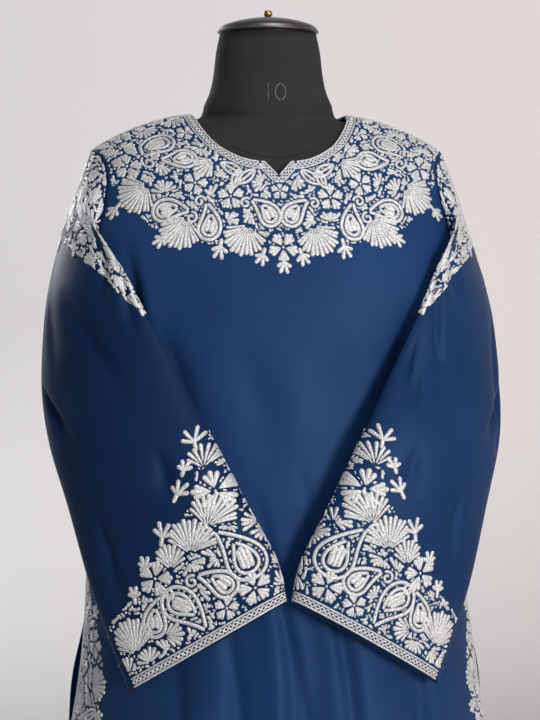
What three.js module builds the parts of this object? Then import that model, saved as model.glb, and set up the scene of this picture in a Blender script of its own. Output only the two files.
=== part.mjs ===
// A pheran, the long loose Kashmiri robe, worn by a limbless dress form on a round stand.
// Millimetres, +Z up, the front faces -Y, and the origin is on the floor under the pole.
// The robe's sleeves are folded forward so that the two cuffs meet in front of the waist.
import * as THREE from "three";

// Cloth and seams
const WALL = 2;
const SEAM_GAP = 0.3;
const ARMHOLE_GAP = 0.5;

// The robe's heights, and its shoulder and neck
const HEM_Z = 340;
const ARMPIT_Z = 1214;
const TIP = { x: 189, z: 1400 };
const NECK = { x: 84, z: 1438 };
const SHOULDER_DROP = { straight: 9, curved: 29 };
const FRONT_NECK = { z: 1385, power: 3.4 };
const BACK_NECK = { z: 1429, power: 3 };
const NOTCH = { halfWidth: 14.8, depth: 15 };

// The armhole is an ellipse seen from the side.
const ARMHOLE = { z: (TIP.z + ARMPIT_Z) / 2, half: (TIP.z - ARMPIT_Z) / 2, front: 66, back: 62 };

// The pocket slash is a lens in each side seam.
const SLASH = { low: 742, high: 915, front: 11, back: 4, lift: 7 };

// Horizontal sections of the robe's outer face: height, half width, depth in front and behind,
// and the power of the superellipse. Above the shoulder tip the shoulder line gives the width.
const ROBE_SECTIONS = [
  { z: 340, width: 306, front: 226, back: 224, power: 2.0 },
  { z: 600, width: 262, front: 202, back: 190, power: 2.05 },
  { z: 780, width: 226, front: 180, back: 163, power: 2.1 },
  { z: 900, width: 209, front: 168, back: 148, power: 2.15 },
  { z: 1000, width: 200, front: 158, back: 138, power: 2.2 },
  { z: 1100, width: 196, front: 149, back: 127, power: 2.2 },
  { z: 1180, width: 199, front: 145, back: 122, power: 2.3 },
  { z: 1214, width: 206, front: 143, back: 121, power: 2.4 },
  { z: 1260, width: 208, front: 138, back: 120, power: 2.45 },
  { z: 1307, width: 206, front: 125, back: 117, power: 2.4 },
  { z: 1350, width: 201, front: 107, back: 110, power: 2.25 },
  { z: 1384, width: 194, front: 89, back: 99, power: 2.0 },
  { z: 1400, width: 189, front: 78, back: 88, power: 1.75 },
  { z: 1414, width: 170, front: 69, back: 77, power: 1.5 },
  { z: 1428, width: 130, front: 62, back: 67, power: 1.4 },
  { z: 1440, width: 84, front: 58, back: 62, power: 1.35 },
];

// Horizontal sections of the dress form, in the same columns. From 1404 to 1424 the width is
// the robe's own shoulder line, lowered by REST, which is where the robe rests on the form.
const REST = 3.6;
const FORM_SECTIONS = [
  { z: 802, width: 150, front: 100, back: 112, power: 2.2 },
  { z: 860, width: 163, front: 112, back: 124, power: 2.2 },
  { z: 930, width: 157, front: 112, back: 114, power: 2.2 },
  { z: 1000, width: 137, front: 104, back: 95, power: 2.1 },
  { z: 1060, width: 119, front: 98, back: 82, power: 2.05 },
  { z: 1120, width: 126, front: 106, back: 88, power: 2.1 },
  { z: 1200, width: 149, front: 125, back: 101, power: 2.2 },
  { z: 1245, width: 157, front: 121, back: 105, power: 2.3 },
  { z: 1300, width: 166, front: 106, back: 106, power: 2.35 },
  { z: 1350, width: 176, front: 95, back: 102, power: 2.2 },
  { z: 1380, width: 179, front: 84, back: 93, power: 2.0 },
  { z: 1394, width: 176, front: 76, back: 85, power: 1.8 },
  { z: 1404, width: 171, front: 70, back: 79, power: 1.6 },
  { z: 1414, width: 160, front: 65, back: 72, power: 1.5 },
  { z: 1424, width: 130, front: 59.5, back: 64.5, power: 1.42 },
  { z: 1430, width: 90, front: 57.5, back: 60.5, power: 1.5 },
  { z: 1434, width: 75.5, front: 56, back: 59, power: 1.7 },
  { z: 1440, width: 71, front: 56, back: 58.5, power: 1.9 },
  { z: 1448, width: 69, front: 56, back: 58, power: 1.95 },
  { z: 1462, width: 63, front: 55, back: 57, power: 2.0 },
  { z: 1480, width: 59, front: 53, back: 55, power: 2.0 },
  { z: 1505, width: 56, front: 51, back: 53, power: 2.0 },
  { z: 1524, width: 52, front: 48, back: 50, power: 2.0 },
];

// Below the waist the skirt hangs a little towards +X.
const LEAN = { x: 11, top: 1090, bottom: 850 };

// Skirt folds: where each crest or trough runs, as a share of the half width, at the top and at
// the hem, its half width as a share too, how far it stands out at the hem, and where it starts.
const FRONT_FOLDS = [
  { top: -0.92, hem: -0.84, half: 0.1, depth: 16, start: 930 },
  { top: -0.62, hem: -0.66, half: 0.09, depth: -17, start: 1010 },
  { top: -0.42, hem: -0.46, half: 0.11, depth: 20, start: 1060 },
  { top: -0.22, hem: -0.23, half: 0.09, depth: -18, start: 1020 },
  { top: -0.08, hem: -0.05, half: 0.1, depth: 15, start: 1100 },
  { top: 0.06, hem: 0.13, half: 0.08, depth: -19, start: 1080 },
  { top: 0.3, hem: 0.35, half: 0.12, depth: 19, start: 1040 },
  { top: 0.53, hem: 0.56, half: 0.08, depth: -20, start: 1000 },
  { top: 0.72, hem: 0.76, half: 0.1, depth: 18, start: 960 },
];
const BACK_FOLDS = [
  { top: -0.84, hem: -0.8, half: 0.11, depth: 18, start: 980 },
  { top: -0.58, hem: -0.57, half: 0.09, depth: -16, start: 1060 },
  { top: -0.34, hem: -0.35, half: 0.11, depth: 18, start: 1120 },
  { top: -0.1, hem: -0.11, half: 0.1, depth: -18, start: 1140 },
  { top: 0.14, hem: 0.13, half: 0.11, depth: 19, start: 1110 },
  { top: 0.36, hem: 0.38, half: 0.09, depth: -17, start: 1080 },
  { top: 0.6, hem: 0.61, half: 0.11, depth: 18, start: 1040 },
  { top: 0.86, hem: 0.84, half: 0.09, depth: 15, start: 960 },
];

// The sleeve on the -X side after its armhole: how far along it each section lies, the power of
// its superellipse, and its four points. The front point runs down to the cuff's inner end and
// the back point to its outer end. The top point is on the face that shows, and the under point
// is on the face towards the body.
const SLEEVE_SECTIONS = [
  {
    along: 0.08, power: 2.1,
    top: [-205, -6, 1352], front: [-190, -83, 1301], under: [-212, -9, 1212], back: [-205, 62, 1305],
  },
  {
    along: 0.2, power: 2.5,
    top: [-223, -32, 1285], front: [-162, -116, 1271], under: [-212, -28, 1204], back: [-215, 46, 1260],
  },
  {
    along: 0.32, power: 2.7,
    top: [-229, -70, 1226], front: [-139, -138, 1229], under: [-204, -60, 1187], back: [-221, 19, 1204],
  },
  {
    along: 0.45, power: 2.7,
    top: [-216, -108, 1160], front: [-107, -154, 1168], under: [-190, -88, 1132], back: [-231, -24, 1140],
  },
  {
    along: 0.57, power: 2.7,
    top: [-188, -152, 1100], front: [-76, -173, 1108], under: [-162, -120, 1078], back: [-230, -64, 1092],
  },
  {
    along: 0.7, power: 2.7,
    top: [-150, -178, 1032], front: [-41, -184, 1040], under: [-132, -147, 1022], back: [-216, -99, 1034],
  },
  {
    along: 0.85, power: 2.7,
    top: [-110, -189, 964], front: [-12, -187, 984], under: [-106, -161, 956], back: [-194, -131, 948],
  },
  {
    along: 1, power: 2.7,
    top: [-80, -193, 904], front: [-3.3, -184, 944], under: [-84, -171, 894], back: [-158, -153, 850],
  },
];

// Sleeve creases: where each is centred, along the sleeve and around it in degrees, how far it
// runs each way, how it slants in degrees around for each unit along, and its depth.
const SLEEVE_CREASES = [
  { along: 0.5, around: -30, length: 0.12, spread: 17, slant: 220, depth: -6 },
  { along: 0.62, around: 25, length: 0.12, spread: 17, slant: -180, depth: -5 },
];

// Couched braid round the neck, cuffs and pocket slashes
const BRAID = { width: 9, thick: 1.1, lift: 0.4, neckLift: 1.7, inset: 0.9, steps: 17 };

// Pocket bags run forward inside the skirt from the slashes. Each loop of a bag has its near and
// far side's share of the half width, how much deeper the far side lies, and its drop.
const BAG = { wall: 1.5, gap: 1.2 };
const BAG_LOOPS = [
  { near: 0.9965, far: 0.9994, deep: 0, down: 0 },
  { near: 0.988, far: 0.9995, deep: 15, down: 4 },
  { near: 0.97, far: 0.975, deep: 17, down: 10 },
  { near: 0.93, far: 0.93, deep: 17, down: 16 },
  { near: 0.88, far: 0.88, deep: 16, down: 22 },
  { near: 0.83, far: 0.83, deep: 13, down: 26 },
  { near: 0.81, far: 0.81, deep: 9, down: 28 },
];

// The dress form's cap, pole and stand
const CAP = { rim: 55, rimZ: 1528.5, lip: 3.4, crown: 22, crownZ: 1543, brim: 41 };
const DISC = { radius: 40, height: 5 };
const KNOB = { radius: 5, height: 7 };
const POLE = { radius: 16 };
const BASE = { radius: 190, thick: 14, hub: 30, hubZ: 44 };
const FIT = 0.3;

// Mesh steps
const COLUMN_TOPS = [
  0, NOTCH.halfWidth, 32, 48, 61, 71, 78, 82, NECK.x, 95, 108, 122, 136, 149, 161, 171, 179, 185,
  TIP.x,
];
const SIDE_COLUMNS = COLUMN_TOPS.length - 1;
const SKIRT_HEIGHTS = [
  HEM_Z, 430, 520, 610, 690, 742, 775, 810, 845, 880, 915, 965, 1025, 1085, 1140, 1182, ARMPIT_Z,
];
const SKIRT_ROWS = SKIRT_HEIGHTS.length - 1;
const SLASH_ROWS = {
  low: SKIRT_HEIGHTS.indexOf(SLASH.low),
  high: SKIRT_HEIGHTS.indexOf(SLASH.high),
};
const ARMHOLE_STEPS = 12;
const SLEEVE_ROWS = 22;
const ROUND_STEPS = 32;

const colours = {
  cloth: new THREE.MeshStandardMaterial({ color: 0x1b3566, roughness: 0.5, metalness: 0 }),
  braid: new THREE.MeshStandardMaterial({ color: 0xc4c6ca, roughness: 0.35, metalness: 0.7 }),
  lining: new THREE.MeshStandardMaterial({ color: 0x182b52, roughness: 0.8, metalness: 0 }),
  jersey: new THREE.MeshStandardMaterial({ color: 0x1c1f22, roughness: 0.85, metalness: 0 }),
  metal: new THREE.MeshStandardMaterial({ color: 0x8b8a8c, roughness: 0.3, metalness: 0.9 }),
  brass: new THREE.MeshStandardMaterial({ color: 0xc9a352, roughness: 0.3, metalness: 0.9 }),
  wood: new THREE.MeshStandardMaterial({ color: 0x6b3f22, roughness: 0.5, metalness: 0 }),
};

const clamp = (v, low, high) => Math.min(high, Math.max(low, v));
const smooth = (v) => v * v * (3 - 2 * v);
const ramp = (v, from, to) => smooth(clamp((v - from) / (to - from), 0, 1));
const signedPower = (v, power) => Math.sign(v) * Math.abs(v) ** power;

// A smooth curve through rows of a table, by cubic pieces whose slopes come from the neighbours.
function curveThrough(rows, key, at, where) {
  const last = rows.length - 1;
  const v = clamp(where, rows[0][key], rows[last][key]);
  let i = 0;
  while (i < last - 1 && v > rows[i + 1][key]) i++;
  const slope = (k) => {
    const [p, q] = [rows[Math.max(k - 1, 0)], rows[Math.min(k + 1, last)]];
    return (at(q) - at(p)) / (q[key] - p[key]);
  };
  const [low, high] = [rows[i], rows[i + 1]];
  const run = high[key] - low[key];
  const t = (v - low[key]) / run;
  const [t2, t3] = [t * t, t * t * t];
  return (
    (2 * t3 - 3 * t2 + 1) * at(low) +
    (t3 - 2 * t2 + t) * run * slope(i) +
    (3 * t2 - 2 * t3) * at(high) +
    (t3 - t2) * run * slope(i + 1)
  );
}

// The shoulder line's height over a place x, and the half width at a height, its inverse.
function shoulderZ(x) {
  const share = (Math.abs(x) - NECK.x) / (TIP.x - NECK.x);
  return NECK.z - SHOULDER_DROP.straight * share - SHOULDER_DROP.curved * share * Math.abs(share);
}
function shoulderX(z) {
  const { straight, curved } = SHOULDER_DROP;
  const drop = NECK.z - z;
  const share =
    drop >= 0
      ? (Math.sqrt(straight ** 2 + 4 * curved * drop) - straight) / (2 * curved)
      : drop / straight;
  return NECK.x + share * (TIP.x - NECK.x);
}

// A horizontal section of the robe or of the form at a height.
function sectionAt(rows, z, side) {
  const read = (column) => curveThrough(rows, "z", (row) => row[column], z);
  return { width: read("width"), depth: read(side < 0 ? "front" : "back"), power: read("power") };
}
function robeSection(z, side) {
  const section = sectionAt(ROBE_SECTIONS, z, side);
  return z > TIP.z ? { ...section, width: shoulderX(z) } : section;
}

// How far from the middle plane the superellipse of a section lies at a place x.
function depthAt({ width, depth, power }, x) {
  return depth * Math.max(0, 1 - (Math.abs(x) / width) ** power) ** (1 / power);
}
function widthAt({ width, depth, power }, y) {
  return width * Math.max(0, 1 - (Math.abs(y) / depth) ** power) ** (1 / power);
}

// The side edge of a panel: how far it lies from the middle plane at a height.
function edgeDepth(z, side) {
  const level = (z - ARMHOLE.z) / ARMHOLE.half;
  const hole = Math.abs(level) < 1 ? Math.sqrt(1 - level * level) : 0;
  const slash = z > SLASH.low && z < SLASH.high
    ? Math.sin((Math.PI * (z - SLASH.low)) / (SLASH.high - SLASH.low)) ** 2
    : 0;
  const [armhole, pocket] = side < 0 ? [ARMHOLE.front, SLASH.front] : [ARMHOLE.back, SLASH.back];
  return SEAM_GAP / 2 + hole * armhole + slash * pocket;
}

// The neckline's height over a place x, on the front with its notch or on the back.
function necklineZ(x, side) {
  const { z, power } = side < 0 ? FRONT_NECK : BACK_NECK;
  const notch = side < 0 ? NOTCH.depth * Math.max(0, 1 - Math.abs(x) / NOTCH.halfWidth) : 0;
  return z + (NECK.z - z) * (Math.abs(x) / NECK.x) ** power - notch;
}

// How far the folds move the cloth outwards at a share w of the half width and a height.
function foldDepth(w, z, side) {
  let sum = 0;
  for (const fold of side < 0 ? FRONT_FOLDS : BACK_FOLDS) {
    const down = ramp(z, fold.start, HEM_Z);
    const middle = fold.top + (fold.hem - fold.top) * down;
    const away = (w - middle) / fold.half;
    sum += fold.depth * down * Math.exp(-away * away);
  }
  const calm = 1 - Math.abs(w) ** 12;
  const slash = Math.sin(Math.PI * clamp((z - SLASH.low) / (SLASH.high - SLASH.low), 0, 1)) ** 2;
  const mouth = side > 0 ? SLASH.lift * slash * ramp(Math.abs(w), 0.93, 1) : 0;
  return sum * calm + mouth;
}

// A panel's columns count out from the middle, 0, to each side; this is a column's share of the
// half width, and the column that a share lies on.
const columnShare = (column) => (Math.sign(column) * COLUMN_TOPS[Math.abs(column)]) / TIP.x;
function columnOf(w) {
  const x = Math.abs(w) * TIP.x;
  let i = 0;
  while (i < SIDE_COLUMNS - 1 && x > COLUMN_TOPS[i + 1]) i++;
  return Math.sign(w) * (i + (x - COLUMN_TOPS[i]) / (COLUMN_TOPS[i + 1] - COLUMN_TOPS[i]));
}

// Where a column of the panel ends at the top: on the shoulder line or on the neckline.
function panelTop(w, side) {
  const x = w * TIP.x;
  const onShoulder = Math.abs(x) >= NECK.x;
  return { onShoulder, topZ: onShoulder ? shoulderZ(x) : necklineZ(x, side) };
}

// A point on the robe's outer face, without folds, at a share of the half width and a height.
function robePoint(side, w, z) {
  const level = Math.min(z, TIP.z);
  const x = w * widthAt(robeSection(level, side), edgeDepth(level, side));
  return new THREE.Vector3(x, side * Math.max(SEAM_GAP / 2, depthAt(robeSection(z, side), x)), z);
}

// A point on a panel's outer face, without folds. side is -1 in front and 1 behind, and row runs
// from the hem, 0, to the armpit, SKIRT_ROWS, and on to the shoulder and neckline.
function panelPoint(side, column, row) {
  const w = columnShare(column);
  if (row <= SKIRT_ROWS) return robePoint(side, w, SKIRT_HEIGHTS[row]);
  const { onShoulder, topZ } = panelTop(w, side);
  const up = (row - SKIRT_ROWS) / ARMHOLE_STEPS;
  const z = ARMPIT_Z + ((topZ - ARMPIT_Z) * (1 - Math.cos(Math.PI * up))) / 2;
  const point = robePoint(side, w, z);
  return up === 1 && onShoulder ? point.setY((side * SEAM_GAP) / 2) : point;
}

// The normal of the robe's superellipse at a point, from the slope of its equation.
function robeNormal(p, side) {
  const level = (x, y, z) => {
    const { width, depth, power } = robeSection(z, side);
    return (Math.abs(x) / width) ** power + (Math.abs(y) / depth) ** power;
  };
  const step = 0.05;
  const slope = (dx, dy, dz) =>
    level(p.x + dx, p.y + dy, p.z + dz) - level(p.x - dx, p.y - dy, p.z - dz);
  return new THREE.Vector3(slope(step, 0, 0), slope(0, step, 0), slope(0, 0, step)).normalize();
}

// The outer and inner faces of a panel at a point, with its folds and the skirt's lean.
function wallAt(base, side, w) {
  const normal = robeNormal(base, side);
  const outer = base.clone().addScaledVector(normal, foldDepth(w, base.z, side));
  outer.x += LEAN.x * ramp(base.z, LEAN.top, LEAN.bottom);
  return { outer, inner: outer.clone().addScaledVector(normal, -WALL), normal };
}
const panelWall = (side, column, row) =>
  wallAt(panelPoint(side, column, row), side, columnShare(column));

// The point of a panel's flat facets over a place x and a height above the armpit, and the
// facets' wall direction there.
function onPanel(x, z, side) {
  const level = Math.min(z, TIP.z);
  const w = clamp(x / widthAt(robeSection(level, side), edgeDepth(level, side)), -1, 1);
  const share = clamp((z - ARMPIT_Z) / (panelTop(w, side).topZ - ARMPIT_Z), 0, 1);
  const column = columnOf(w);
  const row = SKIRT_ROWS + (ARMHOLE_STEPS * Math.acos(1 - 2 * share)) / Math.PI;
  const c = clamp(Math.floor(column), -SIDE_COLUMNS, SIDE_COLUMNS - 1);
  const r = clamp(Math.floor(row), 0, SKIRT_ROWS + ARMHOLE_STEPS - 1);
  const [across, up] = [column - c, row - r];
  const at = (dc, dr) => panelWall(side, c + dc, r + dr);
  const [near, far] = [at(0, 0), at(1, 1)];
  const corner = across >= up ? at(1, 0) : at(0, 1);
  const [most, least] = [Math.max(across, up), Math.min(across, up)];
  const mix = (key) =>
    near[key]
      .clone()
      .addScaledVector(corner[key].clone().sub(near[key]), most)
      .addScaledVector(far[key].clone().sub(corner[key]), least);
  return { point: mix("outer"), normal: mix("normal").normalize() };
}

// The armhole loop at an angle: 0 is the shoulder tip, 90 degrees the front, 180 the armpit.
// It is the panels' edge, moved out of the panel by the gap.
function armholeLoop(angle) {
  const side = Math.sin(angle) >= 0 ? -1 : 1;
  const edge = (a) => {
    const z = ARMHOLE.z + ARMHOLE.half * Math.cos(a);
    const halfDepth = Math.sin(a) >= 0 ? ARMHOLE.front : ARMHOLE.back;
    const y = -halfDepth * Math.sin(a);
    return new THREE.Vector3(-widthAt(robeSection(z, side), y), y, z);
  };
  const here = edge(angle);
  const along = edge(angle + 0.02).sub(edge(angle - 0.02)).normalize();
  const normal = robeNormal(here, side);
  const out = new THREE.Vector3().crossVectors(along, normal).normalize();
  return { point: here.addScaledVector(out, ARMHOLE_GAP), normal };
}

// One section of the sleeve at an angle: a superellipse bent through its four points.
function sectionPoint(row, angle) {
  const cosine = signedPower(Math.cos(angle), 2 / row.power);
  const sine = signedPower(Math.sin(angle), 2 / row.power);
  const bend = (cosine ** 2 - sine ** 2) / (cosine ** 2 + sine ** 2);
  const axis = (i) => {
    const [t, f, u, b] = [row.top[i], row.front[i], row.under[i], row.back[i]];
    const flat = (t + f + u + b) / 4 + ((t - u) / 2) * cosine + ((f - b) / 2) * sine;
    return flat + ((t + u - f - b) / 4) * bend;
  };
  return new THREE.Vector3(axis(0), axis(1), axis(2));
}

// A point on the -X sleeve's outer face: along runs 0 to 1, and around is an angle.
function sleevePoint(along, around) {
  const start = armholeLoop(around).point;
  const rows = [{ along: 0, at: start }];
  for (const row of SLEEVE_SECTIONS) rows.push({ along: row.along, at: sectionPoint(row, around) });
  const read = (axis) => curveThrough(rows, "along", (row) => row.at.getComponent(axis), along);
  return new THREE.Vector3(read(0), read(1), read(2));
}
function creaseDepth(along, around) {
  const degrees = THREE.MathUtils.radToDeg(around);
  let sum = 0;
  for (const crease of SLEEVE_CREASES) {
    const run = (along - crease.along) / crease.length;
    const turned = degrees - crease.around - crease.slant * (along - crease.along);
    const off = (((turned + 540) % 360) - 180) / crease.spread;
    sum += crease.depth * Math.exp(-run * run - off * off);
  }
  return sum;
}
function sleeveWall(along, around) {
  const base = sleevePoint(along, around);
  const [du, dv] = [0.004, 0.02];
  const u = clamp(along, du, 1 - du);
  const down = sleevePoint(u + du, around).sub(sleevePoint(u - du, around));
  const round = sleevePoint(u, around + dv).sub(sleevePoint(u, around - dv));
  const blend = ramp(along, 0, 0.05);
  const normal = armholeLoop(around).normal.multiplyScalar(1 - blend);
  normal.addScaledVector(down.cross(round).normalize(), blend).normalize();
  const outer = base.addScaledVector(normal, creaseDepth(along, around));
  return { outer, inner: outer.clone().addScaledVector(normal, -WALL), normal };
}

// A closed mesh from two faces of points. Each face is a list of rows; a ring's rows close.
function shell(outer, inner, { ring = false } = {}) {
  const rows = outer.length;
  const columns = outer[0].length;
  const points = [...outer.flat(), ...inner.flat()];
  const triangles = [];
  const id = (face, r, c) => face * rows * columns + r * columns + (c % columns);
  const quad = (a, b, c, d) => triangles.push(a, b, c, a, c, d);
  const spans = ring ? columns : columns - 1;
  for (let r = 0; r < rows - 1; r++)
    for (let c = 0; c < spans; c++) {
      quad(id(0, r, c), id(0, r, c + 1), id(0, r + 1, c + 1), id(0, r + 1, c));
      quad(id(1, r, c), id(1, r + 1, c), id(1, r + 1, c + 1), id(1, r, c + 1));
    }
  for (let c = 0; c < spans; c++) {
    quad(id(0, 0, c), id(1, 0, c), id(1, 0, c + 1), id(0, 0, c + 1));
    quad(id(0, rows - 1, c), id(0, rows - 1, c + 1), id(1, rows - 1, c + 1), id(1, rows - 1, c));
  }
  if (!ring)
    for (let r = 0; r < rows - 1; r++) {
      quad(id(0, r, 0), id(0, r + 1, 0), id(1, r + 1, 0), id(1, r, 0));
      const c = columns - 1;
      quad(id(0, r, c), id(1, r, c), id(1, r + 1, c), id(0, r + 1, c));
    }
  return facingOut(points, triangles);
}

// Turns every triangle round when the mesh is inside out, and makes the geometry.
function facingOut(points, triangles) {
  let volume = 0;
  for (let i = 0; i < triangles.length; i += 3) {
    const [a, b, c] = [0, 1, 2].map((k) => points[triangles[i + k]]);
    volume += a.dot(new THREE.Vector3().crossVectors(b, c));
  }
  if (volume < 0)
    for (let i = 0; i < triangles.length; i += 3)
      [triangles[i + 1], triangles[i + 2]] = [triangles[i + 2], triangles[i + 1]];
  const geometry = new THREE.BufferGeometry().setFromPoints(points);
  geometry.setIndex(triangles);
  geometry.computeVertexNormals();
  return geometry;
}

// Rows of wall points over a grid, split into the two faces that shell() takes.
function wallOver(rowValues, columnValues, wall) {
  const grid = rowValues.map((r) => columnValues.map((c) => wall(r, c)));
  return { outer: grid.map((r) => r.map((p) => p.outer)), inner: grid.map((r) => r.map((p) => p.inner)) };
}
const steps = (count, from, to) =>
  Array.from({ length: count + 1 }, (_, i) => from + ((to - from) * i) / count);
const angles = (count) => Array.from({ length: count }, (_, i) => (2 * Math.PI * i) / count);

const mirrored = (point) => new THREE.Vector3(-point.x, point.y, point.z);
const mirrorFaces = (faces) => ({
  outer: faces.outer.map((r) => r.map(mirrored)),
  inner: faces.inner.map((r) => r.map(mirrored)),
});

// The faces of the front or back panel, from hem to neckline.
function panelFaces(side) {
  const rows = steps(SKIRT_ROWS + ARMHOLE_STEPS, 0, SKIRT_ROWS + ARMHOLE_STEPS);
  const columns = steps(2 * SIDE_COLUMNS, -SIDE_COLUMNS, SIDE_COLUMNS);
  return wallOver(rows, columns, (row, column) => panelWall(side, column, row));
}

// Braid on the front panel along a pocket slash: end is the column at the panel's side edge and
// next is the column beside it.
function slashBraid(faces, end, next) {
  const rows = faces.outer.map((_, r) => r).filter((r) => r >= SLASH_ROWS.low - 1 && r <= SLASH_ROWS.high + 1);
  const line = (distance, lift) =>
    rows.map((r) => {
      const [edge, beside] = [faces.outer[r][end], faces.outer[r][next]];
      const normal = edge.clone().sub(faces.inner[r][end]).normalize();
      const share = distance / edge.distanceTo(beside);
      return edge.clone().lerp(beside, share).addScaledVector(normal, lift);
    });
  const across = [BRAID.inset, BRAID.inset + BRAID.width];
  const outer = across.map((d) => line(d, BRAID.lift + BRAID.thick));
  const inner = across.map((d) => line(d, BRAID.lift));
  return shell(outer, inner);
}

// A pocket bag: a flat pouch that opens at the slash and runs forward inside the front panel.
// out is -1 on the -X side and 1 on the +X side. Each loop's front half keeps to the panel and
// its back half is one hollow further in; the first loop is the mouth.
function pocketBag(out) {
  const middle = (SLASH.low + SLASH.high) / 2;
  const half = (SLASH.high - SLASH.low) / 2 - 14;
  const loop = ({ near, far, deep, down }, wall) =>
    angles(12).map((angle) => {
      const z = middle - down + (half - wall) * signedPower(Math.cos(angle), 0.5);
      const inside = (w, inward, side) => {
        const { outer, normal } = wallAt(robePoint(side, out * w, z), side, out * w);
        return outer.addScaledVector(normal, -inward);
      };
      const clear = WALL + BAG.gap;
      const front = inside(near, clear, -1);
      const back = deep === 0 ? inside(far, clear, 1) : inside(far, clear + deep, -1);
      const centre = front.clone().lerp(back, 0.5);
      const reach = signedPower(Math.sin(angle), 0.8) * (1 - wall / front.distanceTo(centre));
      return centre.addScaledVector(front.sub(back), reach / 2);
    });
  const outside = BAG_LOOPS.map((row) => loop(row, 0));
  return pouch(outside, BAG_LOOPS.slice(0, -1).map((row) => loop(row, BAG.wall)));
}

// A closed mesh of a pouch: outside loops and inside loops from the mouth to the blind end.
function pouch(outside, inside) {
  const count = outside[0].length;
  const points = [...outside.flat(), ...inside.flat()];
  const triangles = [];
  const id = (loop, c) => loop * count + (c % count);
  const band = (a, b) => {
    for (let c = 0; c < count; c++)
      triangles.push(id(a, c), id(a, c + 1), id(b, c + 1), id(a, c), id(b, c + 1), id(b, c));
  };
  for (let k = 0; k < outside.length - 1; k++) band(k, k + 1);
  const first = outside.length;
  for (let k = first; k < first + inside.length - 1; k++) band(k + 1, k);
  band(first, 0);
  const end = (loop, turn) => {
    const centre = new THREE.Vector3();
    for (let c = 0; c < count; c++) centre.add(points[id(loop, c)]);
    points.push(centre.divideScalar(count));
    const tip = points.length - 1;
    for (let c = 0; c < count; c++) {
      const [a, b] = turn ? [id(loop, c + 1), id(loop, c)] : [id(loop, c), id(loop, c + 1)];
      triangles.push(tip, a, b);
    }
  };
  end(outside.length - 1, false);
  end(first + inside.length - 1, true);
  return facingOut(points, triangles);
}

// One sleeve. The +X sleeve is the -X sleeve seen in the middle plane.
function sleeveFaces() {
  return wallOver(steps(SLEEVE_ROWS, 0, 1), angles(2 * ARMHOLE_STEPS), sleeveWall);
}

// Braid along the neckline of a panel, from one shoulder seam to the other.
function neckBraid(side) {
  const middle = side < 0 ? NOTCH.halfWidth : 0;
  const half = steps(BRAID.steps, 0, 1).map((t) => -(middle + (NECK.x - middle) * (1 - t * t) ** 0.9));
  const centre = side < 0 ? [0] : [];
  const mirror = half.slice(0, side < 0 ? half.length : -1).reverse().map((x) => -x);
  const places = [...half, ...centre, ...mirror];
  const edge = places.map((x) => onPanel(x, necklineZ(x, side), side));
  const last = edge.length - 1;
  const line = (distance, lift) =>
    edge.map(({ point, normal }, i) => {
      if (i === 0 || i === last) {
        const x = Math.sign(point.x) * (NECK.x + distance);
        const ridge = onPanel(x, shoulderZ(x), side);
        const up = ridge.normal.setY(0).normalize();
        return ridge.point.addScaledVector(up, lift);
      }
      const before = point.clone().sub(edge[i - 1].point).normalize();
      const after = edge[i + 1].point.clone().sub(point).normalize();
      const along = before.clone().add(after).normalize();
      const down = new THREE.Vector3().crossVectors(along, normal).normalize();
      if (down.z > 0) down.negate();
      const reach = distance / Math.max(before.dot(along), 0.7);
      const q = point.clone().addScaledVector(down, reach);
      const place = onPanel(q.x, q.z, side);
      return place.point.addScaledVector(place.normal, lift);
    });
  const across = [BRAID.inset, BRAID.inset + BRAID.width / 2, BRAID.inset + BRAID.width];
  const outer = across.map((d) => line(d, BRAID.neckLift + BRAID.thick));
  const inner = across.map((d) => line(d, BRAID.neckLift));
  return shell(outer, inner);
}

// Braid round the cuff, between the last two rows of the sleeve's points.
function cuffBraidFaces(sleeve) {
  const rows = [0.4, 0.93];
  const lifted = (lift) =>
    rows.map((share) =>
      sleeve.outer.at(-2).map((above, i) => {
        const below = sleeve.outer.at(-1)[i];
        const normal = above.clone().sub(sleeve.inner.at(-2)[i]).normalize();
        return above.clone().lerp(below, share).addScaledVector(normal, lift);
      }),
    );
  return { outer: lifted(BRAID.lift + BRAID.thick), inner: lifted(BRAID.lift) };
}

// The torso of the dress form: one closed solid from the hips to the top of the neck.
function formTorso() {
  const heights = FORM_SECTIONS.map((section) => section.z);
  const ring = (z) =>
    angles(ROUND_STEPS).map((angle) => {
      const side = Math.sin(angle) >= 0 ? 1 : -1;
      const { width, depth, power } = formSection(z, side);
      const x = width * signedPower(Math.cos(angle), 2 / power);
      return new THREE.Vector3(x, depth * signedPower(Math.sin(angle), 2 / power), z);
    });
  return capped(heights.map(ring));
}
function formSection(z, side) {
  const section = sectionAt(FORM_SECTIONS, z, side);
  const follow = ramp(z, 1394, 1404) * (1 - ramp(z, 1424, 1430));
  const width = section.width * (1 - follow) + shoulderX(z + REST) * follow;
  return { ...section, width };
}

// A closed mesh through rings of points, with a fan over each end.
function capped(rings) {
  const count = rings[0].length;
  const points = rings.flat();
  const triangles = [];
  const id = (r, c) => r * count + (c % count);
  for (let r = 0; r < rings.length - 1; r++)
    for (let c = 0; c < count; c++)
      triangles.push(id(r, c), id(r, c + 1), id(r + 1, c + 1), id(r, c), id(r + 1, c + 1), id(r + 1, c));
  const middle = (ring) =>
    ring.reduce((sum, p) => sum.add(p), new THREE.Vector3()).divideScalar(ring.length);
  const [low, high] = [points.length, points.length + 1];
  points.push(middle(rings[0]), middle(rings.at(-1)));
  const last = rings.length - 1;
  for (let c = 0; c < count; c++) {
    triangles.push(low, id(0, c + 1), id(0, c));
    triangles.push(high, id(last, c), id(last, c + 1));
  }
  return facingOut(points, triangles);
}

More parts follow.
